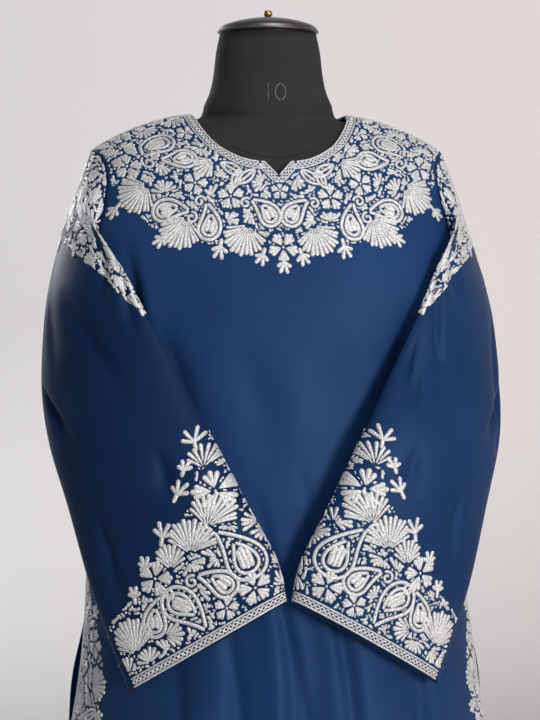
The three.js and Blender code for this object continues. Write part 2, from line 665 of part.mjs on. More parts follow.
// A turned piece: its profile is radius and height pairs from the axis round to the axis.
function turned(profile) {
  const outline = profile.map(([radius, height]) => new THREE.Vector2(radius, height));
  const geometry = new THREE.LatheGeometry(outline, ROUND_STEPS);
  return geometry.rotateX(Math.PI / 2);
}

const neckTop = FORM_SECTIONS.at(-1).z;
const discTop = neckTop + FIT + DISC.height;
const capInside = discTop + FIT;
const disc = () =>
  turned([
    [0, neckTop + FIT],
    [DISC.radius, neckTop + FIT],
    [DISC.radius, discTop],
    [0, discTop],
  ]);
const cap = () =>
  turned([
    [0, capInside],
    [DISC.radius, capInside],
    [CAP.rim - 3, CAP.rimZ - CAP.lip],
    [CAP.rim, CAP.rimZ - CAP.lip / 2],
    [CAP.rim - 1.5, CAP.rimZ],
    [CAP.brim, CAP.rimZ + 5.5],
    [CAP.crown + 7, CAP.crownZ - 3],
    [CAP.crown, CAP.crownZ],
    [0, CAP.crownZ],
  ]);
const knob = () =>
  turned([
    [0, CAP.crownZ + FIT],
    [KNOB.radius * 0.6, CAP.crownZ + FIT],
    [KNOB.radius, CAP.crownZ + FIT + KNOB.height * 0.5],
    [KNOB.radius * 0.6, CAP.crownZ + FIT + KNOB.height],
    [0, CAP.crownZ + FIT + KNOB.height],
  ]);
const pole = () =>
  turned([
    [0, BASE.hubZ + FIT],
    [POLE.radius, BASE.hubZ + FIT],
    [POLE.radius, FORM_SECTIONS[0].z - FIT],
    [0, FORM_SECTIONS[0].z - FIT],
  ]);
const base = () =>
  turned([
    [0, 0],
    [BASE.radius, 0],
    [BASE.radius, BASE.thick - 5],
    [BASE.radius - 6, BASE.thick],
    [BASE.hub + 8, BASE.thick + 3],
    [BASE.hub, BASE.thick + 9],
    [BASE.hub - 4, BASE.hubZ],
    [0, BASE.hubZ],
  ]);

const robe = new THREE.Group();
const stand = new THREE.Group();
const add = (group, name, geometry, material) => {
  const mesh = new THREE.Mesh(geometry, material);
  mesh.name = name;
  group.add(mesh);
};

const front = panelFaces(-1);
const back = panelFaces(1);
add(robe, "front", shell(front.outer, front.inner), colours.cloth);
add(robe, "back", shell(back.outer, back.inner), colours.cloth);
const rightSleeve = sleeveFaces();
const leftSleeve = mirrorFaces(rightSleeve);
add(robe, "sleeve_right", shell(rightSleeve.outer, rightSleeve.inner, { ring: true }), colours.cloth);
add(robe, "sleeve_left", shell(leftSleeve.outer, leftSleeve.inner, { ring: true }), colours.cloth);
add(robe, "neck_braid_front", neckBraid(-1), colours.braid);
add(robe, "neck_braid_back", neckBraid(1), colours.braid);
const rightBraid = cuffBraidFaces(rightSleeve);
const leftBraid = mirrorFaces(rightBraid);
add(robe, "cuff_braid_right", shell(rightBraid.outer, rightBraid.inner, { ring: true }), colours.braid);
add(robe, "cuff_braid_left", shell(leftBraid.outer, leftBraid.inner, { ring: true }), colours.braid);

add(robe, "pocket_braid_right", slashBraid(front, 0, 1), colours.braid);
add(robe, "pocket_braid_left", slashBraid(front, 2 * SIDE_COLUMNS, 2 * SIDE_COLUMNS - 1), colours.braid);
add(robe, "pocket_bag_right", pocketBag(-1), colours.lining);
add(robe, "pocket_bag_left", pocketBag(1), colours.lining);

add(stand, "form_torso", formTorso(), colours.jersey);
add(stand, "form_disc", disc(), colours.wood);
add(stand, "form_cap", cap(), colours.metal);
add(stand, "form_knob", knob(), colours.brass);
add(stand, "stand_pole", pole(), colours.metal);
add(stand, "stand_base", base(), colours.metal);

const part = new THREE.Group();
part.add(robe, stand);
export default part;
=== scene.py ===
"""A navy satin pheran with silver tilla embroidery on a limbless dress form, in metres, +Z up.

The cloth follows the same formulas as the solids, on fine grids and with softer creases. The
embroidery is couched thread: every strand is a small closed body laid on its own piece of cloth.
"""

import logging
import math
from dataclasses import dataclass, field
from enum import Enum
from typing import Callable, NamedTuple

import bpy
import numpy as np
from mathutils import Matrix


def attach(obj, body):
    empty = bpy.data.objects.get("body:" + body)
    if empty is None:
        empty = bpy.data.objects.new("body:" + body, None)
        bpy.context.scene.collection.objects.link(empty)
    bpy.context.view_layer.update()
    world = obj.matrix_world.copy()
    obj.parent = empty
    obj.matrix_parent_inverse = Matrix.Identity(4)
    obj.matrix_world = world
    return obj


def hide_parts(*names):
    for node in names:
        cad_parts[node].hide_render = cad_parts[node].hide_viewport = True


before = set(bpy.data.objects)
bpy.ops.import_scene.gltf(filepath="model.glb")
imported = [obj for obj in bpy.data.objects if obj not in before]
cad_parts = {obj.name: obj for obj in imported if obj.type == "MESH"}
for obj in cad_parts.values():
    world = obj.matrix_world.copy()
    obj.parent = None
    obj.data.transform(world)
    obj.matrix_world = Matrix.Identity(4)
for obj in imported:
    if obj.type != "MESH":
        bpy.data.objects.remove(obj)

Array = np.ndarray
Strand = tuple[Array, float | tuple[float, float]]

MM = 0.001
WALL = 2.0
SEAM_GAP = 0.3
ARMHOLE_GAP = 0.5
HEM_SPAN, HEM_UP, STITCH = 400.0, 22.0, 4.0

log = logging.getLogger("pheran")


class Side(Enum):
    """The front or back of the robe; the value is the sign of Y there."""

    FRONT = -1
    BACK = 1


class Section(NamedTuple):
    """A horizontal section: its height, half width, depths and superellipse power, in mm."""

    z: float
    width: float
    front: float
    back: float
    power: float


class Fold(NamedTuple):
    """A skirt fold: its place at top and hem and half width as shares, its depth and start."""

    top: float
    hem: float
    half: float
    depth: float
    start: float


class Crease(NamedTuple):
    """A soft crease between two places (share of the half width, height), in mm."""

    w0: float
    z0: float
    w1: float
    z1: float
    half: float
    depth: float


class Slope(NamedTuple):
    """A sleeve crease between two places (share along, degrees around), with its half width."""

    along0: float
    around0: float
    along1: float
    around1: float
    half: float
    depth: float


class Ring(NamedTuple):
    """A sleeve section: how far along it lies, its power and its four points in mm."""

    along: float
    power: float
    top: tuple[float, float, float]
    front: tuple[float, float, float]
    under: tuple[float, float, float]
    back: tuple[float, float, float]


HEM_Z, ARMPIT_Z = 340.0, 1214.0
TIP_X, TIP_Z = 189.0, 1400.0
YOKE_HALF = 200.0
CLEAR_OF_BORDER = 1.2
NECK_X, NECK_Z = 84.0, 1438.0
DROP_STRAIGHT, DROP_CURVED = 9.0, 29.0
NECKLINES = {Side.FRONT: (1385.0, 3.4), Side.BACK: (1429.0, 3.0)}
NOTCH_HALF, NOTCH_DEPTH = 14.8, 15.0
HOLE_Z, HOLE_HALF = (TIP_Z + ARMPIT_Z) / 2, (TIP_Z - ARMPIT_Z) / 2
HOLE_DEPTHS = {Side.FRONT: 66.0, Side.BACK: 62.0}
SLASH_LOW, SLASH_HIGH, SLASH_LIFT = 742.0, 915.0, 7.0
SLASH_DEPTHS = {Side.FRONT: 11.0, Side.BACK: 4.0}
LEAN_X, LEAN_TOP, LEAN_BOTTOM = 11.0, 1090.0, 850.0

ROBE_SECTIONS = (
    Section(340, 306, 226, 224, 2.0),
    Section(600, 262, 202, 190, 2.05),
    Section(780, 226, 180, 163, 2.1),
    Section(900, 209, 168, 148, 2.15),
    Section(1000, 200, 158, 138, 2.2),
    Section(1100, 196, 149, 127, 2.2),
    Section(1180, 199, 145, 122, 2.3),
    Section(1214, 206, 143, 121, 2.4),
    Section(1260, 208, 138, 120, 2.45),
    Section(1307, 206, 125, 117, 2.4),
    Section(1350, 201, 107, 110, 2.25),
    Section(1384, 194, 89, 99, 2.0),
    Section(1400, 189, 78, 88, 1.75),
    Section(1414, 170, 69, 77, 1.5),
    Section(1428, 130, 62, 67, 1.4),
    Section(1440, 84, 58, 62, 1.35),
)
FORM_REST = 3.6
FORM_SECTIONS = (
    Section(802, 150, 100, 112, 2.2),
    Section(860, 163, 112, 124, 2.2),
    Section(930, 157, 112, 114, 2.2),
    Section(1000, 137, 104, 95, 2.1),
    Section(1060, 119, 98, 82, 2.05),
    Section(1120, 126, 106, 88, 2.1),
    Section(1200, 149, 125, 101, 2.2),
    Section(1245, 157, 121, 105, 2.3),
    Section(1300, 166, 106, 106, 2.35),
    Section(1350, 176, 95, 102, 2.2),
    Section(1380, 179, 84, 93, 2.0),
    Section(1394, 176, 76, 85, 1.8),
    Section(1404, 171, 70, 79, 1.6),
    Section(1414, 160, 65, 72, 1.5),
    Section(1424, 130, 59.5, 64.5, 1.42),
    Section(1430, 90, 57.5, 60.5, 1.5),
    Section(1434, 75.5, 56, 59, 1.7),
    Section(1440, 71, 56, 58.5, 1.9),
    Section(1448, 69, 56, 58, 1.95),
    Section(1462, 63, 55, 57, 2.0),
    Section(1480, 59, 53, 55, 2.0),
    Section(1505, 56, 51, 53, 2.0),
    Section(1524, 52, 48, 50, 2.0),
)
FOLDS = {
    Side.FRONT: (
        Fold(-0.92, -0.84, 0.1, 16, 930),
        Fold(-0.62, -0.66, 0.09, -17, 1010),
        Fold(-0.42, -0.46, 0.11, 20, 1060),
        Fold(-0.22, -0.23, 0.09, -18, 1020),
        Fold(-0.08, -0.05, 0.1, 15, 1100),
        Fold(0.06, 0.13, 0.08, -19, 1080),
        Fold(0.3, 0.35, 0.12, 19, 1040),
        Fold(0.53, 0.56, 0.08, -20, 1000),
        Fold(0.72, 0.76, 0.1, 18, 960),
    ),
    Side.BACK: (
        Fold(-0.84, -0.8, 0.11, 18, 980),
        Fold(-0.58, -0.57, 0.09, -16, 1060),
        Fold(-0.34, -0.35, 0.11, 18, 1120),
        Fold(-0.1, -0.11, 0.1, -18, 1140),
        Fold(0.14, 0.13, 0.11, 19, 1110),
        Fold(0.36, 0.38, 0.09, -17, 1080),
        Fold(0.6, 0.61, 0.11, 18, 1040),
        Fold(0.86, 0.84, 0.09, 15, 960),
    ),
}
CREASES = {
    Side.FRONT: (
        Crease(-0.86, 1310, -0.7, 1150, 8, -7),
        Crease(-0.76, 1290, -0.64, 1130, 11, 4),
        Crease(-0.66, 1230, -0.5, 1080, 12, -5),
        Crease(0.86, 1310, 0.72, 1150, 8, -7),
        Crease(0.74, 1280, 0.6, 1110, 11, 4),
        Crease(0.64, 1240, 0.44, 1070, 12, -5),
        Crease(0.3, 1230, 0.1, 1060, 22, -3.5),
        Crease(-0.28, 1220, -0.08, 1040, 22, -3.5),
        Crease(-0.4, 990, -0.42, 540, 9, -7),
        Crease(-0.17, 1060, -0.19, 560, 8, -8),
        Crease(-0.06, 940, -0.05, 600, 6, -4),
        Crease(0.06, 1090, 0.09, 500, 8, -8),
        Crease(0.46, 1020, 0.5, 540, 9, -8),
        Crease(0.52, 880, 0.57, 600, 8, -5),
        Crease(-0.62, 920, -0.64, 540, 10, -7),
        Crease(0.3, 840, 0.31, 480, 9, -4),
        Crease(-0.3, 780, -0.31, 420, 10, -5),
        Crease(0.9, 1130, 0.82, 1000, 9, -5),
        Crease(-0.9, 1120, -0.84, 980, 9, -5),
    ),
    Side.BACK: (
        Crease(-0.82, 1300, -0.68, 1150, 9, -6),
        Crease(0.82, 1300, 0.69, 1140, 9, -6),
        Crease(-0.46, 1040, -0.48, 540, 11, -6),
        Crease(-0.22, 940, -0.22, 560, 10, -5),
        Crease(0.02, 1120, 0.01, 580, 10, -5.5),
        Crease(0.25, 980, 0.26, 520, 11, -6),
        Crease(0.49, 900, 0.5, 540, 10, -5),
        Crease(0.72, 960, 0.74, 540, 11, -4.5),
        Crease(-0.7, 880, -0.7, 520, 11, -4.5),
        Crease(-0.5, 1330, -0.3, 1150, 14, -5),
        Crease(0.52, 1320, 0.3, 1160, 14, -5),
        Crease(-0.24, 1300, -0.06, 1120, 18, -3.5),
        Crease(0.28, 1310, 0.08, 1130, 18, -3.5),
    ),
}
SLEEVE_RINGS = (
    Ring(0.08, 2.1, (-205, -6, 1352), (-190, -83, 1301), (-212, -9, 1212), (-205, 62, 1305)),
    Ring(0.2, 2.5, (-223, -32, 1285), (-162, -116, 1271), (-212, -28, 1204), (-215, 46, 1260)),
    Ring(0.32, 2.7, (-229, -70, 1226), (-139, -138, 1229), (-204, -60, 1187), (-221, 19, 1204)),
    Ring(0.45, 2.7, (-216, -108, 1160), (-107, -154, 1168), (-190, -88, 1132), (-231, -24, 1140)),
    Ring(0.57, 2.7, (-188, -152, 1100), (-76, -173, 1108), (-162, -120, 1078), (-230, -64, 1092)),
    Ring(0.7, 2.7, (-150, -178, 1032), (-41, -184, 1040), (-132, -147, 1022), (-216, -99, 1034)),
    Ring(0.85, 2.7, (-110, -189, 964), (-12, -187, 984), (-106, -161, 956), (-194, -131, 948)),
    Ring(1, 2.7, (-80, -193, 904), (-3.3, -184, 944), (-84, -171, 894), (-158, -153, 850)),
)
SHARED_SLOPES = (
    Slope(0.44, -40, 0.58, -16, 9, -8),
    Slope(0.58, 30, 0.68, 12, 8, -6),
    Slope(0.12, 60, 0.34, 30, 9, -6),
    Slope(0.14, 78, 0.4, 52, 9, -5),
    Slope(0.3, -60, 0.52, -70, 9, -6),
    Slope(0.5, 150, 0.7, 170, 9, -5),
    Slope(0.3, 120, 0.5, 150, 10, -5),
)
RIGHT_SLOPES = SHARED_SLOPES + (
    Slope(0.26, 2, 0.52, 26, 10, -5),
    Slope(0.68, -24, 0.88, -44, 9, -5),
    Slope(0.2, -20, 0.46, -6, 9, -4.5),
)
LEFT_SLOPES = SHARED_SLOPES + (
    Slope(0.3, 64, 0.46, 30, 5, -6),
    Slope(0.38, 76, 0.52, 50, 4.5, -6),
    Slope(0.44, 60, 0.54, 34, 4, -5),
    Slope(0.24, -8, 0.52, -24, 8, -7),
    Slope(0.34, -36, 0.62, -46, 7, -7),
    Slope(0.62, -6, 0.84, -34, 7, -6),
)


def smooth(v: Array) -> Array:
    """A soft step: three times the square less twice the cube."""
    return v * v * (3 - 2 * v)


def ramp(v: Array, start: float, end: float) -> Array:
    """The soft step from 0 at start to 1 at end."""
    return smooth(np.clip((v - start) / (end - start), 0, 1))


def signed_power(v: Array, power: float) -> Array:
    """A power that keeps the sign."""
    return np.sign(v) * np.abs(v) ** power


def unit(v: Array) -> Array:
    """Vectors brought to length 1."""
    return v / np.maximum(np.linalg.norm(v, axis=-1, keepdims=True), 1e-9)


def curve_through(keys: Array, values: Array, where: Array) -> Array:
    """Cubic pieces through the rows of a table, whose slopes come from the neighbouring rows.

    Args:
        keys: the rows' places, rising.
        values: one value or array for each row.
        where: the places asked for.

    Returns:
        The values there, with where's shape first.
    """
    rest = (1,) * (values.ndim - 1)
    slopes = np.empty_like(values)
    slopes[1:-1] = (values[2:] - values[:-2]) / (keys[2:] - keys[:-2]).reshape(-1, *rest)
    slopes[0] = (values[1] - values[0]) / (keys[1] - keys[0])
    slopes[-1] = (values[-1] - values[-2]) / (keys[-1] - keys[-2])
    v = np.clip(np.asarray(where, float), keys[0], keys[-1])
    i = np.clip(np.searchsorted(keys, v, side="left") - 1, 0, len(keys) - 2)
    run = (keys[i + 1] - keys[i]).reshape(*v.shape, *rest)
    t = (v - keys[i]).reshape(*v.shape, *rest) / run
    t2, t3 = t * t, t * t * t
    return (
        (2 * t3 - 3 * t2 + 1) * values[i]
        + (t3 - 2 * t2 + t) * run * slopes[i]
        + (3 * t2 - 2 * t3) * values[i + 1]
        + (t3 - t2) * run * slopes[i + 1]
    )


def trough(px: Array, py: Array, start: tuple, end: tuple, half: float) -> Array:
    """A soft crease from 0 to 1: a bell across a straight line, faded in and out along it.

    Args:
        px: the first coordinate of the places.
        py: their second coordinate.
        start: where the crease begins.
        end: where it ends.
        half: the bell's half width.

    Returns:
        How deep the crease is at each place.
    """
    dx, dy = end[0] - start[0], end[1] - start[1]
    run = math.hypot(dx, dy)
    t = ((px - start[0]) * dx + (py - start[1]) * dy) / (run * run)
    away = ((py - start[1]) * dx - (px - start[0]) * dy) / run
    bow = 0.06 * run * np.sin(np.pi * np.clip(t, 0, 1))
    fade = np.sin(np.pi * np.clip(t, 0, 1)) ** 1.3
    wide = half * (0.7 + 0.6 * np.clip(t, 0, 1))
    return fade * np.exp(-(((away - bow) / wide) ** 2))


def cut_size(surface: Array, tube: bool = False) -> tuple[float, float]:
    """The cut's widest width and greatest length in metres, measured along a piece's surface.

    Args:
        surface: its grid of points in mm, rows from end to end.
        tube: whether each row runs all round and closes.

    Returns:
        The longest row and the longest column.
    """
    closed = np.concatenate([surface, surface[:, :1]], axis=1) if tube else surface
    width = np.linalg.norm(np.diff(closed, axis=1), axis=-1).sum(1).max()
    length = np.linalg.norm(np.diff(surface, axis=0), axis=-1).sum(0).max()
    return round(float(width) * MM, 3), round(float(length) * MM, 3)


class Sections:
    """A table of horizontal sections, read at any height."""

    def __init__(self, rows: tuple[Section, ...]) -> None:
        """Keeps the table as one array."""
        self.table = np.array(rows, float)

    def at(self, z: Array, side: Side) -> tuple[Array, Array, Array]:
        """Half width, depth on that side and power at the heights."""
        keys = self.table[:, 0]
        depth = 2 if side is Side.FRONT else 3
        return tuple(curve_through(keys, self.table[:, k], z) for k in (1, depth, 4))


def shoulder_z(x: Array) -> Array:
    """The shoulder line's height: it drops by a straight and by a squared share."""
    share = (np.abs(x) - NECK_X) / (TIP_X - NECK_X)
    return NECK_Z - DROP_STRAIGHT * share - DROP_CURVED * share * np.abs(share)


def shoulder_x(z: Array) -> Array:
    """The half width at a height on the shoulder line, the inverse of its height."""
    drop = NECK_Z - np.asarray(z, float)
    root = np.sqrt(DROP_STRAIGHT**2 + 4 * DROP_CURVED * np.maximum(drop, 0)) - DROP_STRAIGHT
    share = np.where(drop >= 0, root / (2 * DROP_CURVED), drop / DROP_STRAIGHT)
    return NECK_X + share * (TIP_X - NECK_X)


@dataclass(frozen=True)
class Robe:
    """The robe's body as one surface: a superellipse at every height, folded outwards."""

    sections: Sections = Sections(ROBE_SECTIONS)
    step: float = 0.05

    def section(self, z: Array, side: Side) -> tuple[Array, Array, Array]:
        """The section at a height; above the shoulder tip the shoulder line gives its width."""
        width, depth, power = self.sections.at(z, side)
        return np.where(z > TIP_Z, shoulder_x(z), width), depth, power

    def depth_at(self, x: Array, z: Array, side: Side) -> Array:
        """How far the section lies from the middle plane at a place x."""
        width, depth, power = self.section(z, side)
        return depth * np.maximum(0, 1 - (np.abs(x) / width) ** power) ** (1 / power)

    def width_at(self, y: Array, z: Array, side: Side) -> Array:
        """How far the section lies from the plane of symmetry at a depth y."""
        width, depth, power = self.section(z, side)
        return width * np.maximum(0, 1 - (np.abs(y) / depth) ** power) ** (1 / power)

    def edge_depth(self, z: Array, side: Side) -> Array:
        """The side edge: the seam, cut back by the armhole's ellipse and the pocket's lens."""
        level = np.clip((z - HOLE_Z) / HOLE_HALF, -1, 1)
        hole = np.sqrt(1 - level * level) * HOLE_DEPTHS[side]
        share = np.clip((z - SLASH_LOW) / (SLASH_HIGH - SLASH_LOW), 0, 1)
        return SEAM_GAP / 2 + hole + np.sin(np.pi * share) ** 2 * SLASH_DEPTHS[side]

    def neckline_z(self, x: Array, side: Side) -> Array:
        """The neckline's height: a power curve, with a V notch in front."""
        low, power = NECKLINES[side]
        notch = NOTCH_DEPTH * np.maximum(0, 1 - np.abs(x) / NOTCH_HALF)
        curve = low + (NECK_Z - low) * (np.abs(x) / NECK_X) ** power
        return curve - notch if side is Side.FRONT else curve

    def top_z(self, w: Array, side: Side) -> Array:
        """Where a column ends: on the shoulder line, or on the neckline inside it."""
        x = w * TIP_X
        return np.where(np.abs(x) >= NECK_X, shoulder_z(x), self.neckline_z(x, side))

    def fold_depth(self, w: Array, z: Array, side: Side) -> Array:
        """How far folds, creases and the pocket's mouth move the cloth outwards."""
        total = np.zeros_like(w)
        for fold in FOLDS[side]:
            down = ramp(z, fold.start, HEM_Z)
            away = (w - fold.top - (fold.hem - fold.top) * down) / fold.half
            total += fold.depth * down * np.exp(-away * away)
        for crease in CREASES[side]:
            start, end = (crease.w0 * TIP_X, crease.z0), (crease.w1 * TIP_X, crease.z1)
            total += crease.depth * trough(w * TIP_X, z, start, end, crease.half)
        share = np.clip((z - SLASH_LOW) / (SLASH_HIGH - SLASH_LOW), 0, 1)
        total *= 1 - np.abs(w) ** 12
        if side is Side.BACK:
            total += SLASH_LIFT * np.sin(np.pi * share) ** 2 * ramp(np.abs(w), 0.93, 1)
        return total

    def base(self, w: Array, z: Array, side: Side) -> Array:
        """The outer face without folds at a share of the half width and a height."""
        level = np.minimum(z, TIP_Z)
        x = w * self.width_at(self.edge_depth(level, side), level, side)
        y = side.value * np.maximum(SEAM_GAP / 2, self.depth_at(x, z, side))
        return np.stack([x, y, z], -1)

    def normal(self, points: Array, side: Side) -> Array:
        """The superellipse's normal, from the slope of its equation."""

        def level(x: Array, y: Array, z: Array) -> Array:
            """The equation's left side, which is one on the wall."""
            width, depth, power = self.section(z, side)
            return (np.abs(x) / width) ** power + (np.abs(y) / depth) ** power

        slopes = []
        for axis in range(3):
            shift = np.eye(3)[axis] * self.step
            high, low = points + shift, points - shift
            slopes.append(level(*np.moveaxis(high, -1, 0)) - level(*np.moveaxis(low, -1, 0)))
        return unit(np.stack(slopes, -1))

    def wall(self, w: Array, z: Array, side: Side) -> tuple[Array, Array]:
        """The outer face with folds and the skirt's lean, and its normal."""
        base = self.base(w, z, side)
        normal = self.normal(base, side)
        outer = base + normal * self.fold_depth(w, z, side)[..., None]
        outer[..., 0] += LEAN_X * ramp(z, LEAN_TOP, LEAN_BOTTOM)
        return outer, normal


ROBE = Robe()


class GridChart:
    """A flat map of a grid of points: U is a column's label and V the length along it."""

    def __init__(self, points: Array, normals: Array, labels: Array, step: float = 1.0) -> None:
        """Measures each column and keeps, for every whole step of V, the row it falls on.

        Args:
            points: rows by columns by 3.
            normals: the same shape.
            labels: a rising number for each column.
            step: the step of V in mm.
        """
        self.points, self.normals, self.labels, self.step = points, normals, labels, step
        runs = np.linalg.norm(np.diff(points, axis=0), axis=-1)
        self.lengths = np.vstack([np.zeros(runs.shape[1]), np.cumsum(runs, axis=0)])
        steps = np.arange(0, self.lengths[-1].max() + step, step)
        rows = np.arange(len(points))
        self.rows = np.stack([np.interp(steps, length, rows) for length in self.lengths.T])

    def reach(self, u: Array) -> Array:
        """How long the column at U is."""
        return np.interp(u, self.labels, self.lengths[-1])

    def v_of(self, u: Array, row_value: Array, axis: int = 2) -> Array:
        """V where the column at U comes to a given coordinate, taken as rising along it."""
        column = int(round(float(np.interp(u, self.labels, np.arange(len(self.labels))))))
        return np.interp(row_value, self.points[:, column, axis], self.lengths[:, column])

    def place(self, uv: Array) -> tuple[Array, Array]:
        """Points and normals over places of the map, straight between the grid's own."""
        c = np.interp(uv[..., 0], self.labels, np.arange(len(self.labels)))
        k = np.clip(uv[..., 1] / self.step, 0, self.rows.shape[1] - 1.001)
        r = self.mix(self.rows[..., None], c, k)[..., 0]
        return self.mix(self.points, r, c), unit(self.mix(self.normals, r, c))

    @staticmethod
    def mix(values: Array, i: Array, j: Array) -> Array:
        """Values between the four nearest of a grid."""
        i0 = np.clip(i.astype(int), 0, values.shape[0] - 2)
        j0 = np.clip(j.astype(int), 0, values.shape[1] - 2)
        a, b = (i - i0)[..., None], (j - j0)[..., None]
        low = values[i0, j0] * (1 - a) + values[i0 + 1, j0] * a
        high = values[i0, j0 + 1] * (1 - a) + values[i0 + 1, j0 + 1] * a
        return low * (1 - b) + high * b


def shell_faces(rows: int, columns: int, ring: bool) -> Array:
    """Quads of a closed wall from an outer and an inner grid of the same size.

    Args:
        rows: the grids' rows.
        columns: the grids' columns.
        ring: whether the columns go right round.

    Returns:
        The quads, the outer face first, then the inner one and the edges.
    """
    index = np.arange(2 * rows * columns).reshape(2, rows, columns)
    if ring:
        index = np.concatenate([index, index[:, :, :1]], axis=2)

    def band(a: Array, b: Array) -> Array:
        """The quads between two edges."""
        return np.stack([a[:-1], a[1:], b[1:], b[:-1]], -1).reshape(-1, 4)

    def face(grid: Array) -> Array:
        """The quads of one grid."""
        corners = [grid[:-1, :-1], grid[:-1, 1:], grid[1:, 1:], grid[1:, :-1]]
        return np.stack(corners, -1).reshape(-1, 4)

    parts = [face(index[0]), face(index[1])[:, ::-1]]
    parts += [band(index[1, 0], index[0, 0]), band(index[0, -1], index[1, -1])]
    if not ring:
        parts += [band(index[0, :, 0], index[1, :, 0]), band(index[1, :, -1], index[0, :, -1])]
    return np.concatenate(parts)


def tube_faces(rows: int, columns: int) -> Array:
    """Quads of a tube of rings, open at both ends."""
    index = np.arange(rows * columns).reshape(rows, columns)
    index = np.concatenate([index, index[:, :1]], axis=1)
    corners = [index[:-1, :-1], index[:-1, 1:], index[1:, 1:], index[1:, :-1]]
    return np.stack(corners, -1).reshape(-1, 4)


class Mesher:
    """Makes Blender objects from arrays in mm."""

    @staticmethod
    def build(
        name: str, points: Array, faces: Array, material: bpy.types.Material, uv: Array | None = None,
        smooth_shading: bool = True,
    ) -> bpy.types.Object:
        """One object at the origin with its place in its mesh.

        Args:
            name: the piece's name.
            points: its vertices in mm.
            faces: quads or triangles as indices.
            material: its finish.
            uv: a place in mm for every vertex, which the finish reads.
            smooth_shading: whether its faces are shaded smooth.

        Returns:
            The object, linked to the scene.
        """
        mesh = bpy.data.meshes.new(name)
        faces = np.asarray(faces, np.int32)
        count, corners = faces.shape
        mesh.vertices.add(len(points))
        mesh.vertices.foreach_set("co", (np.asarray(points) * MM).astype(np.float32).ravel())
        mesh.loops.add(count * corners)
        mesh.loops.foreach_set("vertex_index", faces.ravel())
        mesh.polygons.add(count)
        mesh.polygons.foreach_set("loop_start", np.arange(0, count * corners, corners, dtype=np.int32))
        mesh.polygons.foreach_set("use_smooth", np.full(count, smooth_shading))
        mesh.update(calc_edges=True)
        mesh.validate()
        if uv is not None:
            layer = mesh.uv_layers.new(name="cloth")
            layer.data.foreach_set("uv", (uv[faces.ravel()] * MM).astype(np.float32).ravel())
        mesh.materials.append(material)
        piece = bpy.data.objects.new(name, mesh)
        bpy.context.scene.collection.objects.link(piece)
        return piece

    @staticmethod
    def outwards(points: Array, faces: Array) -> Array:
        """The faces turned round where the closed mesh is inside out, by its signed volume."""
        a, b, c = (points[faces[:, k]] for k in range(3))
        volume = np.einsum("ij,ij->", a, np.cross(b, c))
        if faces.shape[1] == 4:
            d = points[faces[:, 3]]
            volume += np.einsum("ij,ij->", a, np.cross(c, d))
        return faces if volume > 0 else faces[:, ::-1]


def settle(piece: bpy.types.Object, slot: str, *nodes: str) -> bpy.types.Object:
    """Puts a piece on the frame: it rides on the one body and stands for its nodes."""
    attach(piece, "root")
    if nodes:
        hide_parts(*nodes)
    log.info("%s: %d faces", piece.name, len(piece.data.polygons))
    return piece


class Nodes:
    """A material's node tree, filled by short calls."""

    def __init__(self, name: str) -> None:
        """Starts an empty material with its shader."""
        self.material = bpy.data.materials.new(name)
        self.material.use_nodes = True
        self.tree = self.material.node_tree
        self.shader = self.tree.nodes["Principled BSDF"]

    def new(self, kind: str, **values: object) -> bpy.types.Node:
        """A node with its attributes, or its inputs where no attribute has that name."""
        node = self.tree.nodes.new(kind)
        for name, value in values.items():
            if hasattr(node, name):
                setattr(node, name, value)
            else:
                node.inputs[name.replace("_", " ")].default_value = value
        return node

    def link(self, output: bpy.types.NodeSocket, target: bpy.types.NodeSocket) -> None:
        """Joins two sockets."""
        self.tree.links.new(output, target)

    def set(self, **values: object) -> None:
        """Sets the shader's own sockets; an underscore stands for a space."""
        for name, value in values.items():
            self.shader.inputs[name.replace("_", " ")].default_value = value

    def blend(self, fac: bpy.types.NodeSocket, low: tuple, high: tuple, start: float, end: float) -> None:
        """The base colour runs from low to high as fac goes from start to end."""
        colours = self.new("ShaderNodeValToRGB")
        first, last = colours.color_ramp.elements
        first.position, last.position = start, end
        first.color, last.color = (*low, 1), (*high, 1)
        self.link(fac, colours.inputs["Fac"])
        self.link(colours.outputs["Color"], self.shader.inputs["Base Color"])

    def bump(self, height: bpy.types.NodeSocket, strength: float, distance: float) -> None:
        """Fine relief from a height pattern."""
        node = self.new("ShaderNodeBump", Strength=strength, Distance=distance)
        self.link(height, node.inputs["Height"])
        self.link(node.outputs["Normal"], self.shader.inputs["Normal"])


